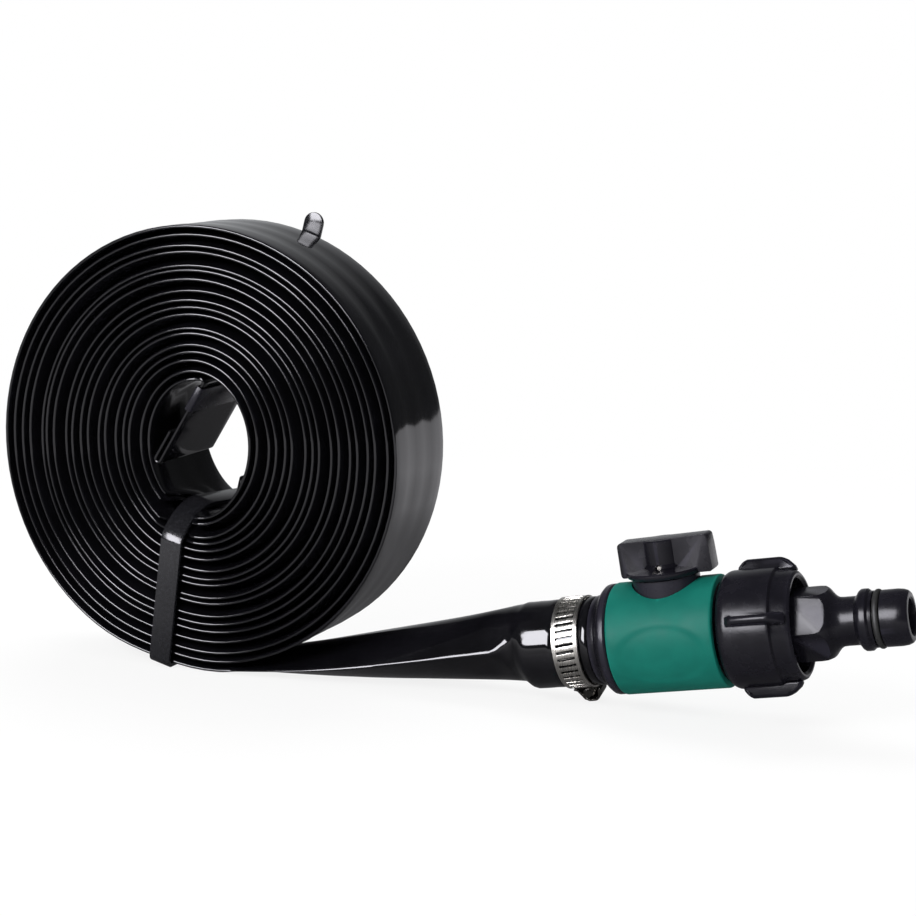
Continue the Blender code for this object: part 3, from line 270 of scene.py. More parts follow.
def select(kind, test):
    """In edit mode, select the vertices, edges or faces whose middle passes a test."""
    bpy.ops.mesh.select_all(action="DESELECT")
    bpy.ops.mesh.select_mode(type=kind)
    mesh = bpy.context.active_object.data
    bm = bmesh.from_edit_mesh(mesh)
    items, middle = {
        "VERT": (bm.verts, lambda item: item.co),
        "EDGE": (bm.edges, lambda item: (item.verts[0].co + item.verts[1].co) / 2),
        "FACE": (bm.faces, lambda item: item.calc_center_median()),
    }[kind]
    for item in items:
        item.select_set(bool(test(item, middle(item))))
    bm.select_flush_mode()
    bmesh.update_edit_mesh(mesh)


def extrude(x, y, z):
    bpy.ops.mesh.extrude_region_move(TRANSFORM_OT_translate={"value": (x, y, z)})


def face_outwards(merge=0.0):
    """Merge close vertices if asked, turn all normals outwards and leave edit mode."""
    bpy.ops.mesh.select_all(action="SELECT")
    if merge:
        bpy.ops.mesh.remove_doubles(threshold=merge)
    bpy.ops.mesh.normals_make_consistent(inside=False)
    bpy.ops.object.mode_set(mode="OBJECT")


def close_ends(obj, merge):
    """Merge close vertices and fill the open ends."""
    edit(obj)
    bpy.ops.mesh.select_all(action="SELECT")
    bpy.ops.mesh.remove_doubles(threshold=merge)
    bpy.ops.mesh.select_all(action="DESELECT")
    bpy.ops.mesh.select_mode(type="EDGE")
    bpy.ops.mesh.select_non_manifold()
    bpy.ops.mesh.fill_holes(sides=0)
    face_outwards()


def shape_points(obj, place):
    """Put every vertex where place(vertex number, position) says."""
    for number, vertex in enumerate(obj.data.vertices):
        vertex.co = place(number, vertex.co.copy())
    obj.data.update()


def draw_line(name, points, closed=False):
    """Draw an edge line by extruding one vertex from point to point."""
    obj = primitive(bpy.ops.mesh.primitive_plane_add, name, size=MM)
    bpy.ops.object.mode_set(mode="EDIT")
    bpy.ops.mesh.select_mode(type="VERT")
    bpy.ops.mesh.select_all(action="SELECT")
    bpy.ops.mesh.merge(type="CENTER")
    here = Vector(points[0])
    bpy.ops.transform.translate(value=here)
    for point in points[1:]:
        extrude(*(Vector(point) - here))
        here = Vector(point)
    if closed:
        bm = bmesh.from_edit_mesh(obj.data)
        for vertex in bm.verts:
            vertex.select_set(len(vertex.link_edges) == 1)
        bmesh.update_edit_mesh(obj.data)
        bpy.ops.mesh.edge_face_add()
    bpy.ops.mesh.select_all(action="SELECT")
    return obj


def turn_outline(name, outline, sides, closed=False):
    """Spin a line of (along, radius) points round the X axis into a shell."""
    obj = draw_line(name, [(along, 0.0, radius) for along, radius in outline], closed)
    bpy.ops.mesh.spin(steps=sides, angle=math.tau, center=(0, 0, 0), axis=(1, 0, 0))
    face_outwards(0.005 * MM)
    return obj


def plate(name, outline, thickness):
    """A flat plate from an outline of (x, z) points, half its thickness to each side of Y = 0."""
    obj = draw_line(name, [(x, -thickness / 2, z) for x, z in outline], True)
    bpy.ops.mesh.edge_face_add()
    extrude(0.0, thickness, 0.0)
    face_outwards()
    return obj


def sheet(name, line, across, thickness, offset, closed=False):
    """A strip along a line of points, as wide as the vector across and centred on it, with a wall."""
    obj = draw_line(name, line, closed)
    extrude(*across)
    bpy.ops.mesh.select_all(action="SELECT")
    bpy.ops.transform.translate(value=-across / 2)
    face_outwards()
    return modify(obj, "SOLIDIFY", thickness=thickness, offset=offset, use_even_offset=True)


def modify(obj, kind, **settings):
    """Add a modifier and apply it."""
    activate(obj)
    modifier = obj.modifiers.new(kind.title(), kind)
    for key, value in settings.items():
        setattr(modifier, key, value)
    bpy.ops.object.modifier_apply(modifier=modifier.name)
    return obj


def round_edges(obj, width, segments=3, angle=35.0):
    return modify(obj, "BEVEL", width=width, segments=segments, limit_method="ANGLE",
                  angle_limit=math.radians(angle), use_clamp_overlap=True, harden_normals=False)


def combine(obj, other, operation):
    """Join or cut with another object, which is used up."""
    modify(obj, "BOOLEAN", operation=operation, object=other, solver="EXACT")
    bpy.data.objects.remove(other, do_unlink=True)


def place(obj, matrix):
    """Move a modelled piece into the row frame and apply that to its mesh."""
    activate(obj)
    obj.matrix_world = matrix
    bpy.ops.object.transform_apply(location=True, rotation=True, scale=True)


def hand_over(obj, body, slot, finish, *nodes, smooth=30.0):
    """Shade, paint and attach a finished piece, and hide the CAD nodes it replaces."""
    activate(obj)
    bpy.ops.object.shade_smooth_by_angle(angle=math.radians(smooth))
    obj.data.materials.clear()
    obj.data.materials.append(finish)
    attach(obj, body)
    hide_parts(*nodes)


def arc(centre, radius, start, end, steps):
    """Points of an arc in degrees, as (a, b)."""
    angles = [math.radians(start + (end - start) * i / steps) for i in range(steps + 1)]
    return [(centre[0] + radius * math.cos(a), centre[1] + radius * math.sin(a)) for a in angles]


def mm(*points, along=0.0, out=0.0):
    """Points given in millimetres, from a place along and out in metres."""
    return [(along + a * MM, out + b * MM) for a, b in points]


# ---------------------------------------------------------------- finishes

def node(tree, kind, inputs=None, **settings):
    """Add a node; an input is a value, or a socket to link."""
    made = tree.nodes.new(kind)
    for key, value in settings.items():
        setattr(made, key, value)
    for key, value in (inputs or {}).items():
        if isinstance(value, bpy.types.NodeSocket):
            tree.links.new(value, made.inputs[key])
        else:
            made.inputs[key].default_value = value
    return made


def own_place(tree, output="Object"):
    return node(tree, "ShaderNodeTexCoord").outputs[output]


def spread(tree, value, low, high, from_low=0.3, from_high=0.7):
    """Map a texture's value to a range."""
    return node(tree, "ShaderNodeMapRange", {"Value": value, "From Min": from_low, "From Max": from_high,
                                             "To Min": low, "To Max": high}).outputs["Result"]


def shade(value, factor):
    return tuple(min(1.0, part * factor) for part in value)


class Finish:
    """A procedural material on a Principled shader, textured on the piece's own coordinates."""

    def __init__(self, name, base, roughness, **inputs):
        self.material = bpy.data.materials.get(name) or bpy.data.materials.new(name)
        self.material.use_nodes = True
        self.material.diffuse_color = (*base, 1.0)
        self.base = base
        self.tree = self.material.node_tree
        self.inputs = self.tree.nodes["Principled BSDF"].inputs
        self.inputs["Base Color"].default_value = (*base, 1.0)
        self.inputs["Roughness"].default_value = roughness
        for key, value in inputs.items():
            self.inputs[key.replace("_", " ")].default_value = value

    def noise(self, scale, detail=3.0, roughness=0.5, stretch=(1.0, 1.0, 1.0), output="Object", turn=(0.0, 0.0, 0.0)):
        """Noise on the piece's own coordinates, stretched along each axis."""
        mapping = node(self.tree, "ShaderNodeMapping", {"Vector": own_place(self.tree, output), "Scale": stretch,
                                                        "Rotation": turn})
        return node(self.tree, "ShaderNodeTexNoise", {"Vector": mapping.outputs["Vector"], "Scale": scale,
                                                      "Detail": detail, "Roughness": roughness}).outputs["Fac"]

    def mix(self, factor, first, second):
        """Blend two colours; each is a colour or a socket."""
        first, second = (value if isinstance(value, bpy.types.NodeSocket) else (*value, 1.0)
                         for value in (first, second))
        return node(self.tree, "ShaderNodeMix", {"Factor": factor, 6: first, 7: second},
                    data_type="RGBA").outputs[2]

    def roughen(self, texture, low, high):
        self.tree.links.new(spread(self.tree, texture, low, high), self.inputs["Roughness"])

    def tone(self, texture, low, high, limits=(0.3, 0.7), worn=None):
        """Let a texture drive the colour between two shades; worn edges are paler, as (sharpness, shade)."""
        made = self.mix(spread(self.tree, texture, 0.0, 1.0, *limits), shade(self.base, low), shade(self.base, high))
        if worn:
            edge = node(self.tree, "ShaderNodeNewGeometry").outputs["Pointiness"]
            made = self.mix(spread(self.tree, edge, 0.0, 1.0, 0.52, worn[0]), made, shade(self.base, worn[1]))
        self.tree.links.new(made, self.inputs["Base Color"])

    def bump(self, height, distance, strength, under=None):
        inputs = {"Height": height, "Distance": distance, "Strength": strength}
        if under is not None:
            inputs["Normal"] = under
        normal = node(self.tree, "ShaderNodeBump", inputs).outputs["Normal"]
        self.tree.links.new(normal, self.inputs["Normal"])
        return normal


def dressed(maker):
    """Dress the material that has the function's name by the present settings."""
    @functools.wraps(maker)
    def finish():
        return maker(maker.__name__, bpy.context.scene.finish_settings).material
    return finish


@dressed
def hose_film(name, colours):
    """Glossy extruded film: fine lines along the hose, soft haze and a little dust."""
    finish = Finish(name, colours.film, 0.08, Specular_IOR_Level=0.5)
    haze = finish.noise(55.0, 4.0, output="UV")
    finish.roughen(haze, 0.05, 0.12)
    finish.tone(haze, 1.0, 2.0, (0.45, 0.8))
    fine = finish.bump(finish.noise(1.0, 2.0, stretch=(6.0, 900.0, 1.0), output="UV"), 0.010 * MM, 0.6)
    finish.bump(finish.noise(1.0, 1.0, stretch=(90.0, 120.0, 1.0), output="UV"), 0.10 * MM, 0.5, fine)
    return finish


@dressed
def tie_nylon(name, colours):
    """Half-gloss nylon with a soft grain."""
    finish = Finish(name, colours.nylon, 0.16)
    grain = finish.noise(900.0)
    finish.roughen(grain, 0.12, 0.20)
    finish.tone(grain, 1.0, 1.6)
    finish.bump(grain, 0.006 * MM, 0.4)
    return finish


@dressed
def moulded_black(name, colours):
    """Moulded plastic: spark-eroded grain, flow marks and paler worn edges."""
    finish = Finish(name, colours.moulded, 0.25, Specular_IOR_Level=0.24)
    flow = finish.noise(120.0, 4.0, 0.6)
    finish.roughen(flow, 0.20, 0.31)
    finish.tone(flow, 0.8, 1.3, worn=(0.62, 2.6))
    finish.bump(finish.noise(1600.0), 0.03 * MM, 0.55)
    return finish


@dressed
def grip_green(name, colours):
    """Soft-touch moulded grip with a fine grain and paler worn edges."""
    finish = Finish(name, colours.grip, 0.5, Specular_IOR_Level=0.07)
    cloud = finish.noise(160.0)
    finish.roughen(cloud, 0.42, 0.56)
    finish.tone(cloud, 0.92, 1.08, worn=(0.60, 1.5))
    finish.bump(finish.noise(2200.0, 4.0, 0.6), 0.035 * MM, 0.6)
    return finish


def brushed_steel(name, base):
    """Strip steel, brushed along the band."""
    finish = Finish(name, base, 0.28, Metallic=1.0)
    brushed = finish.noise(1.0, 2.0, stretch=(9000.0, 250.0, 250.0), turn=(0.0, VALVE_TILT, 0.0))
    finish.roughen(brushed, 0.20, 0.36)
    finish.tone(finish.noise(300.0, 4.0, 0.6), 0.82, 1.08)
    finish.bump(brushed, 0.008 * MM, 0.5)
    return finish


@dressed
def rolled_steel(name, colours):
    """The band and the pin."""
    return brushed_steel(name, shade(colours.steel, 1.0))


@dressed
def dark_steel(name, colours):
    """The clamp's housing and screw: the steel darkened to paint the shade they lie in under the valve."""
    # painted shade: the clamp steel at 0.22 of its colour, for the shadow under the valve
    return brushed_steel(name, shade(colours.steel, 0.22))


@dressed
def seal_rubber(name, colours):
    """Dull moulded rubber."""
    finish = Finish(name, colours.rubber, 0.6)
    grain = finish.noise(1400.0)
    finish.roughen(grain, 0.45, 0.65)
    finish.tone(grain, 1.0, 1.7)
    finish.bump(grain, 0.02 * MM, 0.5)
    return finish


@dressed
def seat_white(name, colours):
    """Smooth white low-friction plastic."""
    finish = Finish(name, colours.seat, 0.4)
    cloud = finish.noise(250.0, 2.0)
    finish.roughen(cloud, 0.34, 0.46)
    finish.tone(cloud, 0.95, 1.0)
    return finish


@dressed
def ball_chrome(name, colours):
    """Polished plating with faint turning marks."""
    finish = Finish(name, (0.70, 0.70, 0.70), 0.1, Metallic=1.0)
    finish.roughen(finish.noise(1.0, 2.0, stretch=(4000.0, 60.0, 60.0)), 0.06, 0.16)
    return finish


# ---------------------------------------------------------------- hose

def heading(angle):
    return Vector((math.cos(angle), math.sin(angle)))


def left_of(direction):
    return Vector((-direction.y, direction.x))


def smooth_step(value):
    value = max(0.0, min(1.0, value))
    return value * value * (3 - 2 * value)


def waves(angle, *terms):
    return sum(height * math.sin(rate * angle + phase) for height, rate, phase in terms)


def stray(turns):
    """Smooth unevenness of the winding, from -1 to 1, fading at both ends."""
    ends = min(1.0, max(0.0, turns - 0.6), max(0.0, (LOOPS - 0.5 - turns) / 1.5))
    return ends * waves(turns * math.tau, (0.42, 0.436, 0.84), (0.33, 0.234, 3.65), (0.35, 0.680, 4.82))


def sideways_stray(turns):
    """How far the loops' edges stand out of line, from -1 to 1."""
    return waves(turns * math.tau, (0.5, 0.31, 2.0), (0.3, 0.71, 0.0), (0.2, 1.9, 1.0)) * min(1.0, LOOPS - turns)


def loop_point(turns, hose):
    """Middle of the flat hose on the winding, as (x, z)."""
    share = turns / LOOPS
    angle = LEAD_SLOPE - math.pi / 2 - (LOOPS - turns) * math.tau
    edge = Vector((CAD_THICKNESS / 2,) * 2)
    inner = CORE_HALF_SIZE + edge
    outer = Vector((ROLL_RADIUS, ROLL_RADIUS)) - edge
    centre = ROLL_MIDDLE + CORE_OFFSET * (1.0 - share)
    pull = TIE_PULL * share * max(0.0, math.cos(angle - TIE_PULL_ANGLE)) ** TIE_PULL_POWER
    slack = (CAD_THICKNESS - hose.thickness) / 2 * (2 * share - 1)
    sag = CORE_SAG * (1.0 - share) ** 3 * max(0.0, -math.sin(angle)) ** 5
    out = slack + stray(turns) * hose.unevenness - pull + sag
    return centre + heading(angle) * (inner.lerp(outer, share) + Vector((out, out)))


def room_between(turns, hose):
    """How far a loop's face and the next loop's face can each swell before they meet."""
    spacing = (loop_point(turns + 1.0, hose) - loop_point(turns, hose)).length
    return max(0.0, (spacing - hose.thickness) / 2 - FACE_CLEARANCE)


def bend(start, direction, radius, turn, steps):
    """Points of an arc that leaves start along direction and turns by an angle, left if positive."""
    side = radius * math.copysign(1.0, turn)
    centre = start + left_of(heading(direction)) * side
    return [centre - left_of(heading(direction + turn * i / steps)) * side for i in range(1, steps + 1)]


def evenly(start, end, steps):
    return [start.lerp(end, i / steps) for i in range(1, steps + 1)]


def bezier(start, handle_a, handle_b, end, share):
    rest = 1.0 - share
    return (start * rest ** 3 + handle_a * 3 * rest ** 2 * share
            + handle_b * 3 * rest * share ** 2 + end * share ** 3)


def fold_over(hose):
    """Where the winding ends at the core's top, and the arc by which the hose turns back there."""
    core_end = loop_point(0.0, hose) + heading(CORE_END_ANGLE) * CORE_END_RUN
    turn = (FLAP_DIRECTION - CORE_END_ANGLE) % math.tau - math.tau
    return core_end, bend(core_end, CORE_END_ANGLE, FOLD_RADIUS, turn, 14)


def folded_points(points):
    """The hose goes on from its arc across the core and ends in a small fold."""
    flap_end = points[-1] + heading(FLAP_DIRECTION) * FLAP_LENGTH
    points = points + evenly(points[-1], flap_end, 16)
    points += bend(flap_end, FLAP_DIRECTION, RETURN_RADIUS, -math.pi, 12)
    return points + evenly(points[-1], points[-1] - heading(FLAP_DIRECTION) * RETURN_LENGTH, 6)


def valve_spot(along, lift=0.0):
    """A point on or above the valve's axis, as (x, z)."""
    spot = VALVE @ Vector((along, 0.0, lift))
    return Vector((spot.x, spot.z))


def on_tie(point, shear=TIE_FRONT_SHEAR):
    """Height of a point along the tie's line, and its distance from that line."""
    offset = point - TIE_FOOT
    line = heading(TIE_DIRECTION)
    height = offset.dot(line)
    return height, abs(offset.dot(left_of(line)) - shear * height)


def tie_levels(hose):
    """Heights of the tie's inner faces up its line: under the rim, in the core, and the top rim."""
    steps = round(LOOPS * hose.loop_steps)
    spots = [on_tie(loop_point(LOOPS * step / steps, hose), 0.0) for step in range(steps + 1)]
    heights = [height for height, aside in spots if aside < 3.9 * MM]
    middle = on_tie(ROLL_MIDDLE + CORE_OFFSET)[0]
    half = hose.thickness / 2
    return (min(heights) - half - 0.1 * MM, max(v for v in heights if v < middle) + half + 0.1 * MM,
            max(heights) + half)


def tie_bend():
    """Points of the tie's bend into the core: depth behind the front, and height from the core's level."""
    return [bezier(*TIE_BEND, step / TIE_BEND_STEPS) for step in range(TIE_BEND_STEPS + 1)]


def bend_depth(height):
    """Depth of the tie's bend at a height from the core's level."""
    points = tie_bend()
    for first, second in zip(points, points[1:]):
        if first.y <= height <= second.y:
            return first.x + (second.x - first.x) * (height - first.y) / (second.y - first.y)
    return 0.0 if height < points[0].y else points[-1].x


def pressed_back(point, tie_core):
    """How far the tie presses the front edge of a loop back at this point."""
    height, aside = on_tie(point)
    if height >= on_tie(ROLL_MIDDLE + CORE_OFFSET)[0]:
        return 0.0
    beyond = smooth_step((height - tie_core) / (3.0 * MM))
    beside = smooth_step((aside - 3.6 * MM) / (2.2 * MM))
    return bend_depth(height - tie_core) * (1.0 - beside) * (1.0 - beyond)


class Section:
    """One cross-section of the hose: its middle, its size and how far it is from flat (0) to oval (1)."""

    def __init__(self, point, half_width, half_height, oval=0.0, rib=0.0, shift=0.0, press=0.0, slope=None, lens=0.0):
        self.point = point
        self.half_width = half_width
        self.half_height = half_height
        self.oval = oval
        self.lens = lens
        self.rib = rib
        self.shift = shift
        self.press = press
        self.slope = slope
        self.room = (0.0, 0.0)


def wound_sections(hose):
    """The hose on the winding, from the core outwards."""
    tie_core = tie_levels(hose)[1]
    steps = round(LOOPS * hose.loop_steps)
    sections = []
    for step in range(steps + 1):
        turns = LOOPS * step / steps
        point = loop_point(turns, hose)
        section = Section(point, HOSE_HALF_WIDTH, hose.thickness / 2, 0.0, hose.rib_depth,
                          sideways_stray(turns) * hose.sideways, pressed_back(point, tie_core))
        inner_share = smooth_step((turns - 1.0) / ROOM_FADE_TURNS)
        outer_share = smooth_step((LOOPS - 1.0 - turns) / ROOM_FADE_TURNS)
        section.room = (room_between(turns - 1.0, hose) * inner_share, room_between(turns, hose) * outer_share)
        sections.append(section)
    return sections


def opened_width(half_height):
    """Half width of the hose opened to a half height, with its girth kept."""
    half_width = HOSE_HALF_WIDTH
    for _ in range(12):
        total = 3 * (half_width + half_height)
        root = math.sqrt((3 * half_width + half_height) * (half_width + 3 * half_height))
        half_width *= 4 * HOSE_HALF_WIDTH / (math.pi * (total - root))
    return half_width


def leaving_sections(start, hose, steps=12):
    """The hose leaves the roll and starts to open."""
    half = hose.thickness / 2
    sections = []
    for i in range(1, steps + 1):
        share = i / steps
        opened = half + (OPENED_AT_START - half) * share ** 1.2
        sections.append(Section(start + heading(LEAD_SLOPE) * ROLL_END_RUN * share, opened_width(opened), opened,
                                smooth_step(share / 0.4), hose.rib_depth * (1 - share), slope=LEAD_SLOPE,
                                lens=smooth_step(share / 0.5)))
    return sections


def lead_sections(start, steps=44):
    """The hose opens from flat to round and is pushed over the barb."""
    free_end = BARB_START - STRETCH_LENGTH * 0.7
    end = valve_spot(free_end, LEAD_LIFT)
    third = (end - start).length / 3
    handles = start + heading(LEAD_SLOPE) * third, valve_spot(free_end - third, LEAD_LIFT)
    sections = []
    for i in range(1, steps + 1):
        share = i / steps
        half_height = OPENED_AT_START + (FREE_ROUND_RADIUS - OPENED_AT_START) * share
        sections.append(Section(bezier(start, *handles, end, share), opened_width(half_height), half_height, 1.0,
                                slope=LEAD_SLOPE + (VALVE_TILT - LEAD_SLOPE) * share,
                                lens=1.0 - smooth_step((share - 0.90) / 0.10)))
    for along, radius in BARB_PROFILE:
        lift = LEAD_LIFT * (1.0 - smooth_step((along * MM - free_end) / STRETCH_LENGTH))
        sections.append(Section(valve_spot(along * MM, lift), radius * MM, radius * MM, 1.0, slope=VALVE_TILT))
    return sections


def hose_sections(hose):
    """All sections of the hose, from its folded end to the barb."""
    fold_half = hose.fold_thickness / 2
    core_end, fold_arc = fold_over(hose)
    sections = [Section(point, HOSE_HALF_WIDTH - 0.9 * MM, fold_half) for point in reversed(folded_points(fold_arc))]
    sections.append(Section(core_end, HOSE_HALF_WIDTH - 0.6 * MM, fold_half))
    sections += wound_sections(hose)
    sections += leaving_sections(sections[-1].point, hose)
    return sections + lead_sections(sections[-1].point)


def rib(share):
    """Soft ribs across the hose's face, for a share of its half width."""
    return math.cos(3.2 * math.pi * share) - 0.6 * math.cos(1.1 * math.pi * share + 0.5)


def flat_spot(number, half_width, half_height):
    """Point of a flat section with round beads at its edges: place across and height."""
    straight = half_width - half_height
    quarter, place_in = divmod(number + BEAD_STEPS // 2, SIDES // 2)
    if place_in <= BEAD_STEPS:
        angle = math.pi * (place_in / BEAD_STEPS - 0.5)
        across = -straight - half_height * math.cos(angle)
        height = half_height * math.sin(angle)
    else:
        across = straight * (2 * (place_in - BEAD_STEPS) / (SIDES // 2 - BEAD_STEPS) - 1)
        height = half_height
    return (across, height) if quarter % 2 == 0 else (-across, -height)


def open_spot(angle, section, fullness):
    """Point of an opened section, with a sharp crease at each edge and a fuller upper face."""
    rise = math.sin(angle)
    bulge = 1.0 + section.lens * (abs(rise) - 1.0)
    from_crease = math.asin(min(1.0, abs(rise)))
    bead = section.lens * CREASE_BEAD * math.sqrt(abs(rise)) * math.exp(-(from_crease / 0.35) ** 2)
    height = rise * bulge * section.half_height + math.copysign(bead, rise)
    return -math.cos(angle) * section.half_width, height * fullness if height > 0 else height


def hose_row(section, direction):
    """Points of one section, starting at the front edge."""
    side = left_of(direction)
    opened = (section.half_height - OPENED_AT_START) / (FREE_ROUND_RADIUS - OPENED_AT_START)
    fullness = 1.0 + UPPER_FULLNESS * section.lens * (1.0 - smooth_step((opened - 0.1) / 0.75))
    row = []
    for k in range(SIDES):
        flat = flat_spot(k, section.half_width, section.half_height)
        open_to = open_spot(math.tau * k / SIDES, section, fullness)
        y = flat[0] + (open_to[0] - flat[0]) * section.oval
        height = flat[1] + (open_to[1] - flat[1]) * section.oval
        share = y / section.half_width
        if section.rib:
            height += section.rib * rib(share) * math.copysign(min(1.0, 4 * (1 - abs(share))), height)
        swell = section.room[0 if height > 0 else 1] * smooth_step((1 - abs(share)) / 0.35)
        height += math.copysign(swell, height)
        y += section.press * ((1 - share) / 2) ** 1.5 + section.shift
        spot = section.point + side * height
        row.append(Vector((spot.x, HOSE_MIDDLE_Y + y, max(spot.y, FLOOR_GAP))))
    return row


def travel_directions(sections):
    """Direction of travel at each section, from its slope or its neighbours."""
    directions = []
    for i, section in enumerate(sections):
        before = sections[max(0, i - 1)].point
        after = sections[min(len(sections) - 1, i + 1)].point
        directions.append((after - before).normalized() if section.slope is None else heading(section.slope))
    return directions


def dent(along, angle):
    """Creased dents where the film is stretched over the barb, at a place of the valve frame."""
    from_middle = along / MM + 22.0
    depth = 0.0
    for middle, slant, width, dent_length, height in DENTS:
        turn = ((angle - middle + 180.0) % 360.0 - 180.0) * 0.2 - slant * from_middle * 0.45
        depth += height * math.exp(-(from_middle / dent_length) ** 2 - (turn / width) ** 2)
    return depth * MM


def crease_film(number, spot):
    """Where the creases in front of the barb press a point of the stretched film."""
    local = VALVE_INVERSE @ spot
    out = Vector((0.0, local.y, local.z))
    if not -46.0 * MM < local.x < BARB_START or out.length < 6.0 * MM:
        return spot
    angle = math.degrees(math.atan2(local.z, -local.y))
    return VALVE @ (local + out.normalized() * dent(local.x, angle))


def lay_hose():
    """One grid, rolled into a flat tube and laid along the winding and the lead."""
    sections = hose_sections(bpy.context.scene.hose_settings)
    rows = [hose_row(section, direction) for section, direction in zip(sections, travel_directions(sections))]
    obj = primitive(bpy.ops.mesh.primitive_grid_add, "hose", x_subdivisions=SIDES, y_subdivisions=len(rows) - 1,
                    size=1.0)
    columns = SIDES + 1
    shape_points(obj, lambda number, spot: rows[number // columns][number % columns % SIDES])
    travelled = [0.0]
    for before, after in zip(sections, sections[1:]):
        travelled.append(travelled[-1] + (after.point - before.point).length)
    around = 4 * HOSE_HALF_WIDTH / SIDES
    layer = obj.data.uv_layers.active.data
    for loop in obj.data.loops:
        number = loop.vertex_index
        layer[loop.index].uv = (travelled[number // columns], (number % columns) * around)
    close_ends(obj, 0.001 * MM)
    shape_points(obj, crease_film)
    hand_over(obj, "base", "hose", hose_film(), "hose_coil", "hose_folded_end", "hose_lead", smooth=50.0)


def fit_sleeve():
    """A flat sleeve over the fold: an open box with a wall and rounded edges."""
    hose = bpy.context.scene.hose_settings
    middle = fold_over(hose)[1][-1] + heading(FLAP_DIRECTION) * 5.5 * MM
    obj = block("end_sleeve", (8.6 * MM, 2 * HOSE_HALF_WIDTH - 0.5 * MM, hose.fold_thickness + 1.3 * MM))
    edit(obj)
    select("FACE", lambda face, spot: abs(face.normal.x) > 0.9)
    bpy.ops.mesh.delete(type="FACE")
    select("EDGE", lambda item, spot: abs((item.verts[0].co - item.verts[1].co).normalized().x) > 0.9)
    bpy.ops.mesh.bevel(offset=0.7 * MM, segments=4, affect="EDGES")
    bpy.ops.object.mode_set(mode="OBJECT")
    modify(obj, "SOLIDIFY", thickness=0.45 * MM, offset=-1.0)
    round_edges(obj, 0.15 * MM, 2)
    turn = Matrix.Rotation(-FLAP_DIRECTION, 4, "Y")
    place(obj, Matrix.Translation((middle.x, HOSE_MIDDLE_Y, middle.y)) @ turn)
    hand_over(obj, "base", "black_plastic", moulded_black(), "end_sleeve")


# ---------------------------------------------------------------- tie

def tie_place():
    """Frame with X across the tie, Y along the roll's axis and Z up the tie's line."""
    line = heading(TIE_DIRECTION)
    turn = axes(Vector((line.y, 0.0, -line.x)), Vector((line.x, 0.0, line.y)))
    return Matrix.Translation((TIE_FOOT.x, HOSE_MIDDLE_Y, 0.0)) @ turn


def pull_tie():
    """The strap's loop with its soft bend into the core, the head behind the roll and the tail."""
    low, high, top = tie_levels(bpy.context.scene.hose_settings)
    front = HOSE_HALF_WIDTH + 0.45 * MM + TIE_THICKNESS / 2
    low, high = low - TIE_THICKNESS / 2, high + TIE_THICKNESS / 2
    corner = TIE_CORNER
    line = arc((-front + corner, low + corner), corner, 270, 180, 5)
    line += [(-front + spot.x, high + spot.y) for spot in tie_bend()]
    line += arc((front - corner, high - corner), corner, 90, 0, 5)
    line += arc((front - corner, low + corner), corner, 0, -90, 5)
    loop = sheet("tie", [(0.0, y, z) for y, z in line], Vector((TIE_WIDTH, 0.0, 0.0)), TIE_THICKNESS, 0.0, True)

    def leaned(number, spot):
        frontness = smooth_step((front - spot.y) / (2 * front))
        return spot - Vector((TIE_FRONT_SHEAR * spot.z * frontness, 0.0, 0.0))

    shape_points(loop, leaned)
    round_edges(loop, 0.22 * MM, 2)
    head_low = high - 4.0 * MM
    head = block("tie_head_shape", (10.6 * MM, 5.0 * MM, 8.0 * MM),
                 (0.0, HOSE_HALF_WIDTH + 0.4 * MM + 2.5 * MM, head_low + 4.0 * MM))
    round_edges(head, 0.9 * MM, 4)
    edit(head)
    select("FACE", lambda face, spot: face.normal.z > 0.99 and face.calc_area() > 20 * MM * MM)
    bpy.ops.mesh.inset(thickness=0.9 * MM)
    extrude(0.0, 0.0, -1.6 * MM)
    bpy.ops.object.mode_set(mode="OBJECT")
    combine(loop, head, "UNION")
    half, tip = 3.3 * MM, top + 6.3 * MM
    outline = [(-half, head_low), (half, head_low)] + arc((0.0, tip - half), half, 0, 180, 14)
    tail = plate("tie_tail_shape", outline, TIE_THICKNESS * 0.85)
    place(tail, Matrix.Translation((0.0, front + TIE_THICKNESS / 2 + 0.2 * MM, 0.0)))
    round_edges(tail, 0.25 * MM, 2)
    combine(loop, tail, "UNION")
    place(loop, tie_place())
    hand_over(loop, "base", "tie", tie_nylon(), "cable_tie")


# ---------------------------------------------------------------- clamp

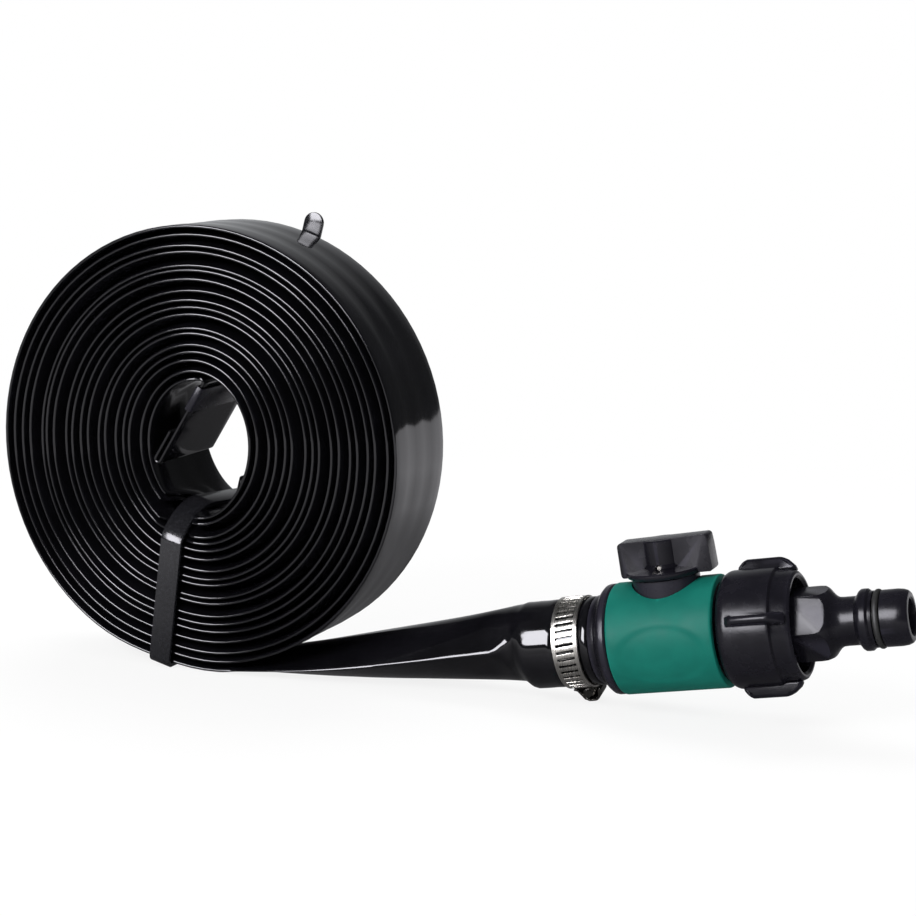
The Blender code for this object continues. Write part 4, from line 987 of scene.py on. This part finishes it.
def wrap_band():
    """One tile with a slanted slot, spun round the axis, given a wall and rounded edges."""
    fitting = bpy.context.scene.fitting_settings
    slots = fitting.band_slots
    pitch = math.tau / slots
    radius = BAND_OUTER - 0.35 * MM
    middle = (BAND_START + BAND_END) / 2
    along = (-4.0, -3.7, -3.0, -2.75, 0.0, 2.75, 3.0, 3.7, 4.0)
    rise = (0.10, 0.0, 0.0, 0.03, 0.08, 0.03, 0.0, 0.0, 0.10)
    around = (-0.5, -0.36, -0.19, 0.19, 0.36, 0.5)
    columns = len(along)
    slot_reach, slant_length = 2.8 * MM, 2.2
    obj = primitive(bpy.ops.mesh.primitive_grid_add, "clamp_band", x_subdivisions=columns - 1,
                    y_subdivisions=len(around) - 1, size=1.0)

    def tile(number, spot):
        column, row = number % columns, number // columns
        angle = around[row] * pitch + fitting.slot_slant * along[column] / slant_length
        bar = 1.0 if abs(around[row]) > 0.4 else 0.0
        far = radius + rise[column] * MM * (bar if abs(along[column]) < 3.5 else 1.0)
        return Vector((middle + along[column] * MM, -far * math.cos(angle), far * math.sin(angle)))

    def in_slot(face, spot):
        slant = fitting.slot_slant * (spot.x - middle) / (slant_length * MM)
        return abs(spot.x - middle) < slot_reach and abs(math.atan2(spot.z, -spot.y) - slant) < 0.1 * pitch

    shape_points(obj, tile)
    edit(obj)
    select("FACE", in_slot)
    bpy.ops.mesh.delete(type="FACE")
    bpy.ops.mesh.select_all(action="SELECT")
    bpy.ops.mesh.spin(steps=slots, dupli=True, angle=math.tau, center=(0, 0, 0), axis=(1, 0, 0))
    face_outwards(0.01 * MM)
    modify(obj, "SOLIDIFY", thickness=0.6 * MM, offset=0.0)
    round_edges(obj, 0.12 * MM, 2, 50.0)
    place(obj, VALVE)
    hand_over(obj, "base", "steel", rolled_steel(), "clamp_band")


def housing_place():
    """Frame of the worm housing: X along the valve, Z away from its axis, Y along the worm; and the worm's height."""
    axis = VALVE_INVERSE.to_3x3() @ Vector(JOINTS["worm_turn"]["axis"])
    worm = VALVE_INVERSE @ Vector(JOINTS["worm_turn"]["pos_m"])
    turn = axes(Vector((1.0, 0.0, 0.0)), Vector((0.0, axis.z, -axis.y)))
    return VALVE @ Matrix.Translation((worm.x, 0.0, 0.0)) @ turn, math.hypot(worm.y, worm.z)


def form_housing():
    """A bent sheet saddle over the worm, with a straight and a sloping side."""
    base, top = BAND_OUTER + 0.3 * MM, BAND_OUTER + 4.3 * MM
    line = mm((-4.3, 0.0), (-3.2, 0.35), (-1.9, 2.3), (-1.3, 3.2), out=base)
    line += arc((0.25 * MM, base + 2.4 * MM), 1.35 * MM, 140, 90, 4)
    line += arc((1.6 * MM, base + 1.7 * MM), 2.05 * MM, 80, 5, 6)
    line += mm((3.75, 0.6), (4.3, 0.1), out=base)
    obj = sheet("clamp_housing", [(x, 0.0, z) for x, z in line], Vector((0.0, 2 * WORM_HALF_LENGTH, 0.0)),
                0.6 * MM, -1.0)
    lift = top - max(vertex.co.z for vertex in obj.data.vertices)
    place(obj, Matrix.Translation((0.0, 0.0, lift)))
    round_edges(obj, 0.14 * MM, 2)
    place(obj, housing_place()[0])
    hand_over(obj, "base", "steel", dark_steel(), "clamp_housing", smooth=40.0)


def cut_worm():
    """A helical thread from a screwed tooth line, with a slotted head at the back."""
    matrix, height = housing_place()
    root, crest, pitch = 1.2 * MM, 1.6 * MM, 1.35 * MM
    tooth = ((0.0, root), (0.25, root), (0.45, crest), (0.6, crest), (0.8, root), (1.0, root))
    obj = draw_line("clamp_screw", [(share * pitch, 0.0, z) for share, z in tooth])
    bpy.ops.object.mode_set(mode="OBJECT")
    modify(obj, "SCREW", axis="X", angle=math.tau, screw_offset=pitch, iterations=5, steps=20,
           render_steps=20, use_merge_vertices=True, merge_threshold=0.005 * MM)
    close_ends(obj, 0.005 * MM)
    spots = [vertex.co.x for vertex in obj.data.vertices]
    place(obj, Matrix.Translation((-(min(spots) + max(spots)) / 2, 0.0, 0.0)))
    half = WORM_HALF_LENGTH + 0.3 * MM
    head = turn_outline("screw_head", mm((-1.2, 0.0), (-1.2, 1.2), (0.0, 1.2), (0.0, 2.2), (2.8, 2.2), (2.8, 0.0),
                                         along=half), 24)
    slot_shape = block("screw_slot", (2.4 * MM, 6.0 * MM, 0.8 * MM), (half + 2.9 * MM, 0.0, 0.0))
    combine(head, slot_shape, "DIFFERENCE")
    round_edges(head, 0.18 * MM, 2)
    combine(obj, head, "UNION")
    along_worm = Matrix.Rotation(-math.pi / 2, 4, "Z")
    place(obj, matrix @ Matrix.Translation((0.0, 0.0, height)) @ along_worm)
    hand_over(obj, "worm", "steel", dark_steel(), "clamp_screw", smooth=40.0)


# ---------------------------------------------------------------- valve

def turn_body():
    """The valve's moulded body: barb, collar, flange and the boss under the handle."""
    outline = mm((0.0, 0.0), (0.0, 10.0), along=BODY_START)
    for i in range(3):
        outline += mm((0.0, 11.3), (0.4, 10.6), along=BODY_START + (i + 0.5) * 5.0 * MM)
    outline += mm((7.5, 10.6), (7.5, 12.85), (8.0, 13.2), (9.4, 13.35), (10.2, 14.1), (10.9, 15.3))
    outline += mm((11.7, -0.15), (12.3, 0.0), (13.4, 0.0), (13.9, -0.5), out=FLANGE_OUTER)
    outline += [(13.9 * MM, 14.0 * MM), (BODY_END, 14.0 * MM), (BODY_END, 0.0)]
    obj = turn_outline("valve_body", outline, 96)
    combine(obj, rod("boss", 96, 9.8 * MM, 17.5 * MM, (STEM_ALONG, 0.0, 8.75 * MM)), "UNION")
    cavity = mm((-1.0, 0.0), (-1.0, 7.0), along=BODY_START) + mm((19.5, 7.0), (19.5, 12.2))
    cavity += mm((1.0, 12.2), (1.0, 0.0), along=BODY_END)
    combine(obj, turn_outline("cavity", cavity, 64), "DIFFERENCE")
    combine(obj, rod("stem_bore", 48, STEM_HOLE, 20.0 * MM, (STEM_ALONG, 0.0, 10.0 * MM)), "DIFFERENCE")
    round_edges(obj, 0.3 * MM, 3, 40.0)
    place(obj, VALVE)
    hand_over(obj, "base", "black_plastic", moulded_black(), "valve_body")


def press_recess(obj, depth):
    """Press an oval thumb recess into both sides of the grip."""
    middle, middle_angle = 30.2 * MM, math.radians(-10.0)
    half_length, half_arc = 13.0 * MM, math.radians(31.0)

    def pressed(number, spot):
        radius = math.hypot(spot.y, spot.z)
        if radius < GRIP_OUTER - 0.2 * MM:
            return spot
        angle = math.atan2(spot.z, abs(spot.y))
        far = math.hypot((spot.x - middle) / half_length, (angle - middle_angle) / half_arc)
        sunk = depth * smooth_step((1.0 - far) / 0.2 + 0.5)
        share = (radius - sunk) / radius
        return Vector((spot.x, spot.y * share, spot.z * share))

    shape_points(obj, pressed)


def mould_grip():
    """The green sleeve with its thumb recesses and the window round the boss."""
    inner, edge, steps = 14.3 * MM, 0.6 * MM, 44
    first, last, rim = GRIP_START + edge, GRIP_END - edge, GRIP_OUTER - edge
    outline = [(GRIP_START, inner), (GRIP_START, rim)]
    outline += [(first - edge * math.cos(a), rim + edge * math.sin(a)) for a in (math.pi / 6, math.pi / 3)]
    outline += [(first + (GRIP_END - GRIP_START - 2 * edge) * i / steps, GRIP_OUTER) for i in range(steps + 1)]
    outline += [(last + edge * math.sin(a), rim + edge * math.cos(a)) for a in (math.pi / 6, math.pi / 3)]
    outline += [(GRIP_END, rim), (GRIP_END, inner)]
    obj = turn_outline("grip_sleeve", outline, 144, closed=True)
    press_recess(obj, bpy.context.scene.fitting_settings.recess_depth)
    combine(obj, rod("grip_window", 96, 10.2 * MM, 30.0 * MM, (STEM_ALONG, 0.0, 15.0 * MM)), "DIFFERENCE")
    round_edges(obj, 0.35 * MM, 3, 40.0)
    place(obj, VALVE)
    hand_over(obj, "base", "green_grip", grip_green(), "grip_sleeve")


def stand_up(obj):
    """Stand a piece that was turned along X on the stem's axis."""
    place(obj, Matrix.Translation((STEM_ALONG, 0.0, 0.0)) @ Matrix.Rotation(-math.pi / 2, 4, "Y"))
    return obj


def mould_handle():
    """A paddle with a round hub on a dished disc."""
    disc = stand_up(turn_outline("handle", mm((17.8, 0.0), (17.8, 10.2), (18.3, 10.9), (19.0, 11.3), (19.5, 11.3),
                                              (19.8, 10.9), (20.1, 8.0), (20.6, 6.1), (21.6, 5.4), (28.2, 5.4),
                                              (28.6, 5.0), (28.6, 0.0)), 96))
    left, right, low, high = -12.5 * MM, 15.1 * MM, 18.2 * MM, 29.0 * MM
    outline = mm((-10.6, 0.0), (-10.2, 1.2), (10.6, 1.2), (11.0, 0.0), out=low)
    outline += [(right - 0.6 * MM, low)]
    outline += arc((right - 0.8 * MM, low + 0.9 * MM), 0.8 * MM, -80, 0, 3)
    outline += [(right - 0.2 * MM, high - 3.4 * MM)]
    outline += arc((right - 1.5 * MM, high - 1.1 * MM), 1.1 * MM, 10, 90, 5)
    outline += arc((left + 1.4 * MM, high - 1.7 * MM), 1.3 * MM, 95, 175, 5)
    outline += [(left + 0.1 * MM, low + 1.2 * MM)] + arc((left + 1.0 * MM, low + 0.8 * MM), 0.8 * MM, 185, 260, 3)
    paddle = plate("paddle", outline, bpy.context.scene.fitting_settings.handle_thickness)
    place(paddle, Matrix.Translation((STEM_ALONG, 0.0, 0.0)))
    round_edges(paddle, 0.75 * MM, 4, 60.0)
    combine(disc, paddle, "UNION")
    hole = rod("pin_hole", 24, 1.1 * MM, 20.0 * MM, (STEM_ALONG, 0.0, PIN_HEIGHT), (math.pi / 2, 0.0, 0.0))
    combine(disc, hole, "DIFFERENCE")
    socket = [(16.0 * MM, 0.0), (16.0 * MM, STEM_HOLE), (23.3 * MM, STEM_HOLE), (23.3 * MM, 0.0)]
    combine(disc, stand_up(turn_outline("socket", socket, 48)), "DIFFERENCE")
    round_edges(disc, 0.3 * MM, 3, 45.0)
    place(disc, VALVE)
    hand_over(disc, "lever", "black_plastic", moulded_black(), "handle")


def drive_pin():
    """The pin through hub and stem, with a domed end."""
    half = 5.1 * MM
    obj = turn_outline("handle_pin", mm((0.0, 0.0), (0.0, 0.6), (0.25, 0.8), along=-half)
                       + mm((-0.25, 0.8), (0.0, 0.6), (0.0, 0.0), along=half), 24)
    place(obj, VALVE @ Matrix.Translation((STEM_ALONG, 0.0, PIN_HEIGHT)) @ Matrix.Rotation(math.pi / 2, 4, "Z"))
    hand_over(obj, "lever", "steel", rolled_steel(), "handle_pin")


# ---------------------------------------------------------------- nut and nipple

def mould_nut():
    """A rounded shell with ridges inside and four tapered lugs."""
    fitting = bpy.context.scene.fitting_settings
    radius = fitting.nut_radius
    bore, thread = 9.9 * MM, 13.4 * MM
    outline = [(NUT_START, bore), (NUT_START, radius - 3.4 * MM)]
    outline += arc((NUT_START + 3.6 * MM, radius - 3.4 * MM), 3.4 * MM, 165, 92, 7)
    outline += [(NUT_START + 8.0 * MM, radius)]
    outline += mm((-6.6, 0.0), (-5.8, -0.15), (-5.2, -0.9), (-4.6, -1.1), (-1.6, -1.2), (-0.5, -1.6), (0.0, -2.3),
                  along=NUT_END, out=radius)
    outline += [(NUT_END, thread + 0.7 * MM)]
    inside = NUT_END - 0.8 * MM
    while inside > 52.5 * MM:
        outline += mm((0.0, 0.0), (-0.5, 0.0), (-0.9, -0.15), (-1.3, -0.15), along=inside, out=thread)
        inside -= 1.8 * MM
    outline += [(50.2 * MM, thread), (50.2 * MM, bore)]
    obj = turn_outline("swivel_nut", outline, 128, closed=True)
    first, last = 49.8 * MM, 67.6 * MM
    root, top = radius - 1.4 * MM, LUG_OUTER
    height = top - radius
    profile = [(first, root), (first + 0.5 * MM, radius + 0.25 * height), (first + 1.6 * MM, radius + 0.8 * height),
               (first + 3.0 * MM, top), (last - 4.6 * MM, top), (last - 2.6 * MM, top - 0.35 * height),
               (last - 0.9 * MM, radius + 0.1 * height), (last, root)]
    for i in range(4):
        lug = plate(f"lug_{i}", profile, fitting.lug_width)
        edit(lug)
        select("VERT", lambda vertex, spot: spot.z > radius + 0.5 * height)
        bpy.ops.transform.resize(value=(1.0, LUG_TOP_SHARE, 1.0), center_override=(0.0, 0.0, 0.0))
        bpy.ops.object.mode_set(mode="OBJECT")
        round_edges(lug, 1.05 * MM, 5, 25.0)
        place(lug, Matrix.Rotation(math.pi / 2 - (LUG_ANGLE + math.tau * i / 4), 4, "X"))
        combine(obj, lug, "UNION")
    round_edges(obj, 0.3 * MM, 3, 50.0)
    place(obj, VALVE)
    hand_over(obj, "nut", "black_plastic", moulded_black(), "swivel_nut")


def mould_nipple():
    """Thread, hexagon, waisted neck, shoulder and nose with its seal groove."""
    across_flats = 19.0 * MM
    corner = across_flats / math.sqrt(3)
    outline = mm((0.0, 4.9), (0.0, 12.6), along=NIPPLE_START)
    for i in range(4):
        begin = NIPPLE_START + (0.6 + 1.8 * i) * MM
        outline += [(begin, NIPPLE_THREAD_OUTER), (begin + 0.5 * MM, NIPPLE_THREAD_OUTER)]
        outline += mm((0.9, 12.7), (1.3, 12.7), along=begin)
    outline += mm((64.5, 12.7)) + mm((64.5, 0.0), (73.4, 0.0), (75.0, -0.25), (76.3, -1.1), out=corner)
    outline += mm((77.3, 8.6), (78.2, 7.6), (79.2, 7.0), (80.6, 6.9), (84.0, 6.9), (84.6, 7.5), (85.1, 8.3),
                  (85.7, 8.7), (86.4, 8.75), (87.4, 8.7), (87.9, 8.3), (88.1, 8.0), (89.0, 8.0), (89.0, 6.8),
                  (91.4, 6.8), (91.4, 8.0), (95.8, 8.0), (97.4, 7.8), (98.4, 7.4), (98.9, 6.9))
    outline += mm((0.0, 6.5), (0.0, 5.6), along=NIPPLE_END) + mm((98.6, 5.0), (97.0, 4.9))
    obj = turn_outline("nipple", outline, 96, closed=True)
    middle, on_side = (71.4 * MM, 0.0, 0.0), (0.0, math.pi / 2, 0.0)
    hole = rod("hex_hole", 6, corner, 13.6 * MM, middle, on_side)
    flats = rod("hex_flats", 48, 2 * corner, 13.4 * MM, middle, on_side)
    combine(flats, hole, "DIFFERENCE")
    place(flats, Matrix.Rotation(math.radians(2.5), 4, "X"))
    combine(obj, flats, "DIFFERENCE")
    round_edges(obj, 0.25 * MM, 3, 40.0)
    place(obj, VALVE)
    hand_over(obj, "nipple", "black_plastic", moulded_black(), "nipple")


def fit_nose_seal():
    obj = primitive(bpy.ops.mesh.primitive_torus_add, "nipple_oring", (90.2 * MM, 0.0, 0.0), (0.0, math.pi / 2, 0.0),
                    major_radius=7.5 * MM, minor_radius=0.9 * MM, major_segments=96, minor_segments=20)
    place(obj, VALVE)
    hand_over(obj, "nipple", "seal", seal_rubber(), "nipple_oring")


# ---------------------------------------------------------------- pieces kept from the frame

KEPT = {
    seat_white: ("ball_seat_inlet", "ball_seat_outlet"),
    moulded_black: ("tailpiece", "stem"),
    seal_rubber: ("body_oring", "stem_oring_lower", "stem_oring_upper", "nut_washer"),
    ball_chrome: ("ball",),
}


def paint_kept():
    for finish, names in KEPT.items():
        for name in names:
            mesh = frame["nodes"][name].data
            mesh.materials.clear()
            mesh.materials.append(finish())


# ---------------------------------------------------------------- stage

def maths(tree, operation, *values):
    return node(tree, "ShaderNodeMath", dict(enumerate(values)), operation=operation).outputs[0]


def glow(tree, tint, strength, kind="ShaderNodeEmission"):
    return node(tree, kind, {"Color": (*tint, 1.0), "Strength": strength}).outputs[0]


def mix_shaders(tree, share, first, second):
    return node(tree, "ShaderNodeMixShader", {0: share, 1: first, 2: second}).outputs[0]


def away_from(tree, spot, operation="DISTANCE"):
    """Distance from a spot, or another vector operation with it, at each place of an object."""
    return node(tree, "ShaderNodeVectorMath", {0: own_place(tree), 1: spot}, operation=operation).outputs["Value"]


def white_seen(tree):
    """One for the rays that see plain white, from the camera and in reflections; zero for all others."""
    rays = node(tree, "ShaderNodeLightPath").outputs
    seen = maths(tree, "MAXIMUM", rays["Is Camera Ray"], rays["Is Glossy Ray"])
    return maths(tree, "MAXIMUM", seen, rays["Is Transmission Ray"])


def coat(obj, surface):
    """Give an object of the stage a material whose surface is surface(tree)."""
    finish = bpy.data.materials.new(obj.name)
    finish.use_nodes = True
    tree = finish.node_tree
    tree.nodes.clear()
    node(tree, "ShaderNodeOutputMaterial", {"Surface": surface(tree)})
    obj.data.materials.append(finish)


def only_mirrored(obj):
    """Hide an object of the stage from all rays but those of reflections."""
    for kind in ("camera", "diffuse", "transmission", "volume_scatter", "shadow"):
        setattr(obj, "visible_" + kind, False)


def light_world():
    world = bpy.context.scene.world or bpy.data.worlds.new("room")
    bpy.context.scene.world = world
    world.use_nodes = True
    tree = world.node_tree
    tree.nodes.clear()
    white = (1.0, 1.0, 1.0)
    room = glow(tree, white, bpy.context.scene.stage_settings.room_level, "ShaderNodeBackground")
    seen = glow(tree, white, 1.0, "ShaderNodeBackground")
    node(tree, "ShaderNodeOutputWorld", {"Surface": mix_shaders(tree, white_seen(tree), room, seen)})


def floor_surface(tree):
    """White to the eye and grey near the object, where its shadow falls. In reflections it is a glow with a painted
    shadow: dim along the object's line and behind the roll, brighter far off.
    """
    lit = node(tree, "ShaderNodeBsdfDiffuse", {"Color": (0.9, 0.9, 0.9, 1.0)}).outputs[0]
    near = spread(tree, away_from(tree, (0.0, 0.0, 0.0)), 0.85, 1.0, 0.12, 0.42)
    seen = mix_shaders(tree, maths(tree, "MULTIPLY", white_seen(tree), near), lit, glow(tree, (1.0, 1.0, 1.0), 1.0))
    aside = maths(tree, "ABSOLUTE", node(tree, "ShaderNodeSeparateXYZ", {0: own_place(tree)}).outputs["Y"])
    # painted shadow in reflections: the glow is dim along the object's line, where the hose and valve lie over the
    # floor
    under = spread(tree, aside, 0.12, 0.50, 0.02, 0.07)
    open_floor = spread(tree, aside, 1.0, 1.8, 0.09, 0.26)
    # painted shadow of the roll on the floor behind it, as reflections see it
    behind = spread(tree, away_from(tree, (-0.08, 0.10, 0.0)), 0.18, 1.0, 0.05, 0.12)
    strength = maths(tree, "MULTIPLY", maths(tree, "MULTIPLY", under, open_floor), behind)
    mirrored = node(tree, "ShaderNodeLightPath").outputs["Is Glossy Ray"]
    return mix_shaders(tree, mirrored, seen, glow(tree, (0.97, 0.96, 1.0), strength))


def lay_floor():
    floor = primitive(bpy.ops.mesh.primitive_plane_add, "floor", size=6.0)
    coat(floor, floor_surface)


def raise_flags():
    """Dark cards round the set that only reflections see, as in a studio for black objects."""
    flags = primitive(bpy.ops.mesh.primitive_uv_sphere_add, "dark_cards", segments=48, ring_count=24, radius=2.5)
    edit(flags)
    select("FACE", lambda face, spot: spot.z < 0.0)
    bpy.ops.mesh.delete(type="FACE")
    bpy.ops.object.mode_set(mode="OBJECT")

    def paler_on_one_side(tree):
        side = away_from(tree, (-0.17, 0.36, 0.0), "DOT_PRODUCT")
        return glow(tree, (0.95, 0.97, 1.0), spread(tree, side, 0.06, 0.48, 0.70, 1.0))

    coat(flags, paler_on_one_side)
    only_mirrored(flags)


def hang_light(name, place_at, look_at, size, power):
    """A lamp that reflections don't show."""
    data = bpy.data.lights.new(name, "AREA")
    data.shape = "RECTANGLE"
    data.size, data.size_y = size
    data.energy = power
    obj = bpy.data.objects.new(name, data)
    bpy.context.scene.collection.objects.link(obj)
    obj.location = place_at
    obj.rotation_mode = "QUATERNION"
    obj.rotation_quaternion = (Vector(look_at) - Vector(place_at)).to_track_quat("-Z", "Y")
    obj.visible_glossy = False


def hang_card(name, turn, height, distance, size, strength):
    """A bright card that only reflections see, at a turn and height in degrees round the set."""
    turn, height = math.radians(turn), math.radians(height)
    away = Vector((math.cos(turn) * math.cos(height), math.sin(turn) * math.cos(height), math.sin(height)))
    card = primitive(bpy.ops.mesh.primitive_plane_add, name, scale=(*size, 1.0), size=1.0)
    place(card, Matrix.Translation(away * distance) @ away.to_track_quat("Z", "Y").to_matrix().to_4x4())
    coat(card, lambda tree: glow(tree, (0.95, 0.94, 1.0), strength))
    only_mirrored(card)


def set_camera():
    data = bpy.data.cameras.new("camera")
    data.lens = CAMERA_LENS
    data.sensor_width = CAMERA_SENSOR
    camera = bpy.data.objects.new("camera", data)
    bpy.context.scene.collection.objects.link(camera)
    camera.location = CAMERA_PLACE
    camera.rotation_euler = [math.radians(turn) for turn in CAMERA_TURN_DEGREES]
    bpy.context.scene.camera = camera


# ---------------------------------------------------------------- operators

class HOSE_OT_stage(bpy.types.Operator):
    """Lay the floor, light the set and place the camera"""
    bl_idname = "hose.stage"
    bl_label = "Stage"

    def execute(self, context):
        stage = context.scene.stage_settings
        context.scene.view_settings.view_transform = "Standard"
        lay_floor()
        light_world()
        raise_flags()
        hang_card("window_card", 250.0, 25.0, 1.6, (0.95, 0.95), stage.card_level)
        hang_light("window_light", (-0.42, -0.95, 0.80), (0.05, 0.0, 0.03), (0.55, 0.42), stage.key_power)
        hang_light("overhead_light", (-0.20, 0.45, 1.05), (0.0, 0.0, 0.05), (0.9, 0.5), stage.fill_power)
        set_camera()
        return {"FINISHED"}


class HOSE_OT_hose(bpy.types.Operator):
    """Lay the hose from its folded end over the roll to the barb"""
    bl_idname = "hose.hose"
    bl_label = "Hose"

    def execute(self, context):
        lay_hose()
        fit_sleeve()
        return {"FINISHED"}


class HOSE_OT_tie(bpy.types.Operator):
    """Pull the tie round the roll's wall"""
    bl_idname = "hose.tie"
    bl_label = "Tie"

    def execute(self, context):
        pull_tie()
        return {"FINISHED"}


class HOSE_OT_clamp(bpy.types.Operator):
    """Wrap the slotted band, form its housing and cut the worm"""
    bl_idname = "hose.clamp"
    bl_label = "Clamp"

    def execute(self, context):
        wrap_band()
        form_housing()
        cut_worm()
        return {"FINISHED"}


class HOSE_OT_valve(bpy.types.Operator):
    """Turn the valve's body and mould its grip"""
    bl_idname = "hose.valve"
    bl_label = "Valve body and grip"

    def execute(self, context):
        turn_body()
        mould_grip()
        return {"FINISHED"}


class HOSE_OT_handle(bpy.types.Operator):
    """Mould the handle and drive its pin"""
    bl_idname = "hose.handle"
    bl_label = "Handle"

    def execute(self, context):
        mould_handle()
        drive_pin()
        return {"FINISHED"}


class HOSE_OT_nut(bpy.types.Operator):
    """Mould the swivel nut with its lugs"""
    bl_idname = "hose.nut"
    bl_label = "Swivel nut"

    def execute(self, context):
        mould_nut()
        return {"FINISHED"}


class HOSE_OT_nipple(bpy.types.Operator):
    """Mould the quick-connect nipple and fit its seal"""
    bl_idname = "hose.nipple"
    bl_label = "Nipple"

    def execute(self, context):
        mould_nipple()
        fit_nose_seal()
        return {"FINISHED"}


class HOSE_OT_inner_parts(bpy.types.Operator):
    """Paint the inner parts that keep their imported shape"""
    bl_idname = "hose.inner_parts"
    bl_label = "Inner parts"

    def execute(self, context):
        paint_kept()
        return {"FINISHED"}


OPERATORS = (HOSE_OT_stage, HOSE_OT_hose, HOSE_OT_tie, HOSE_OT_clamp, HOSE_OT_valve, HOSE_OT_handle,
             HOSE_OT_nut, HOSE_OT_nipple, HOSE_OT_inner_parts)
SETTINGS = {"hose_settings": HoseSettings, "fitting_settings": FittingSettings,
            "finish_settings": FinishSettings, "stage_settings": StageSettings}


class HOSE_PT_panel(bpy.types.Panel):
    """Lists the settings and the pieces"""
    bl_idname = "HOSE_PT_panel"
    bl_label = "Soaker hose"
    bl_space_type = "VIEW_3D"
    bl_region_type = "UI"
    bl_category = "Hose"

    def draw(self, context):
        for name, group in SETTINGS.items():
            settings = getattr(context.scene, name)
            box = self.layout.box()
            for key in group.__annotations__:
                box.prop(settings, key)
        for operator in OPERATORS:
            self.layout.operator(operator.bl_idname)


def register():
    for group in SETTINGS.values():
        bpy.utils.register_class(group)
    for operator in OPERATORS:
        bpy.utils.register_class(operator)
    bpy.utils.register_class(HOSE_PT_panel)
    for name, group in SETTINGS.items():
        setattr(bpy.types.Scene, name, bpy.props.PointerProperty(type=group))


def unregister():
    for name in SETTINGS:
        delattr(bpy.types.Scene, name)
    bpy.utils.unregister_class(HOSE_PT_panel)
    for operator in reversed(OPERATORS):
        bpy.utils.unregister_class(operator)
    for group in reversed(SETTINGS.values()):
        bpy.utils.unregister_class(group)


def main():
    register()
    bpy.ops.hose.stage()
    bpy.ops.hose.hose()
    bpy.ops.hose.tie()
    bpy.ops.hose.clamp()
    bpy.ops.hose.valve()
    bpy.ops.hose.handle()
    bpy.ops.hose.nut()
    bpy.ops.hose.nipple()
    bpy.ops.hose.inner_parts()


if __name__ == "__main__":
    main()
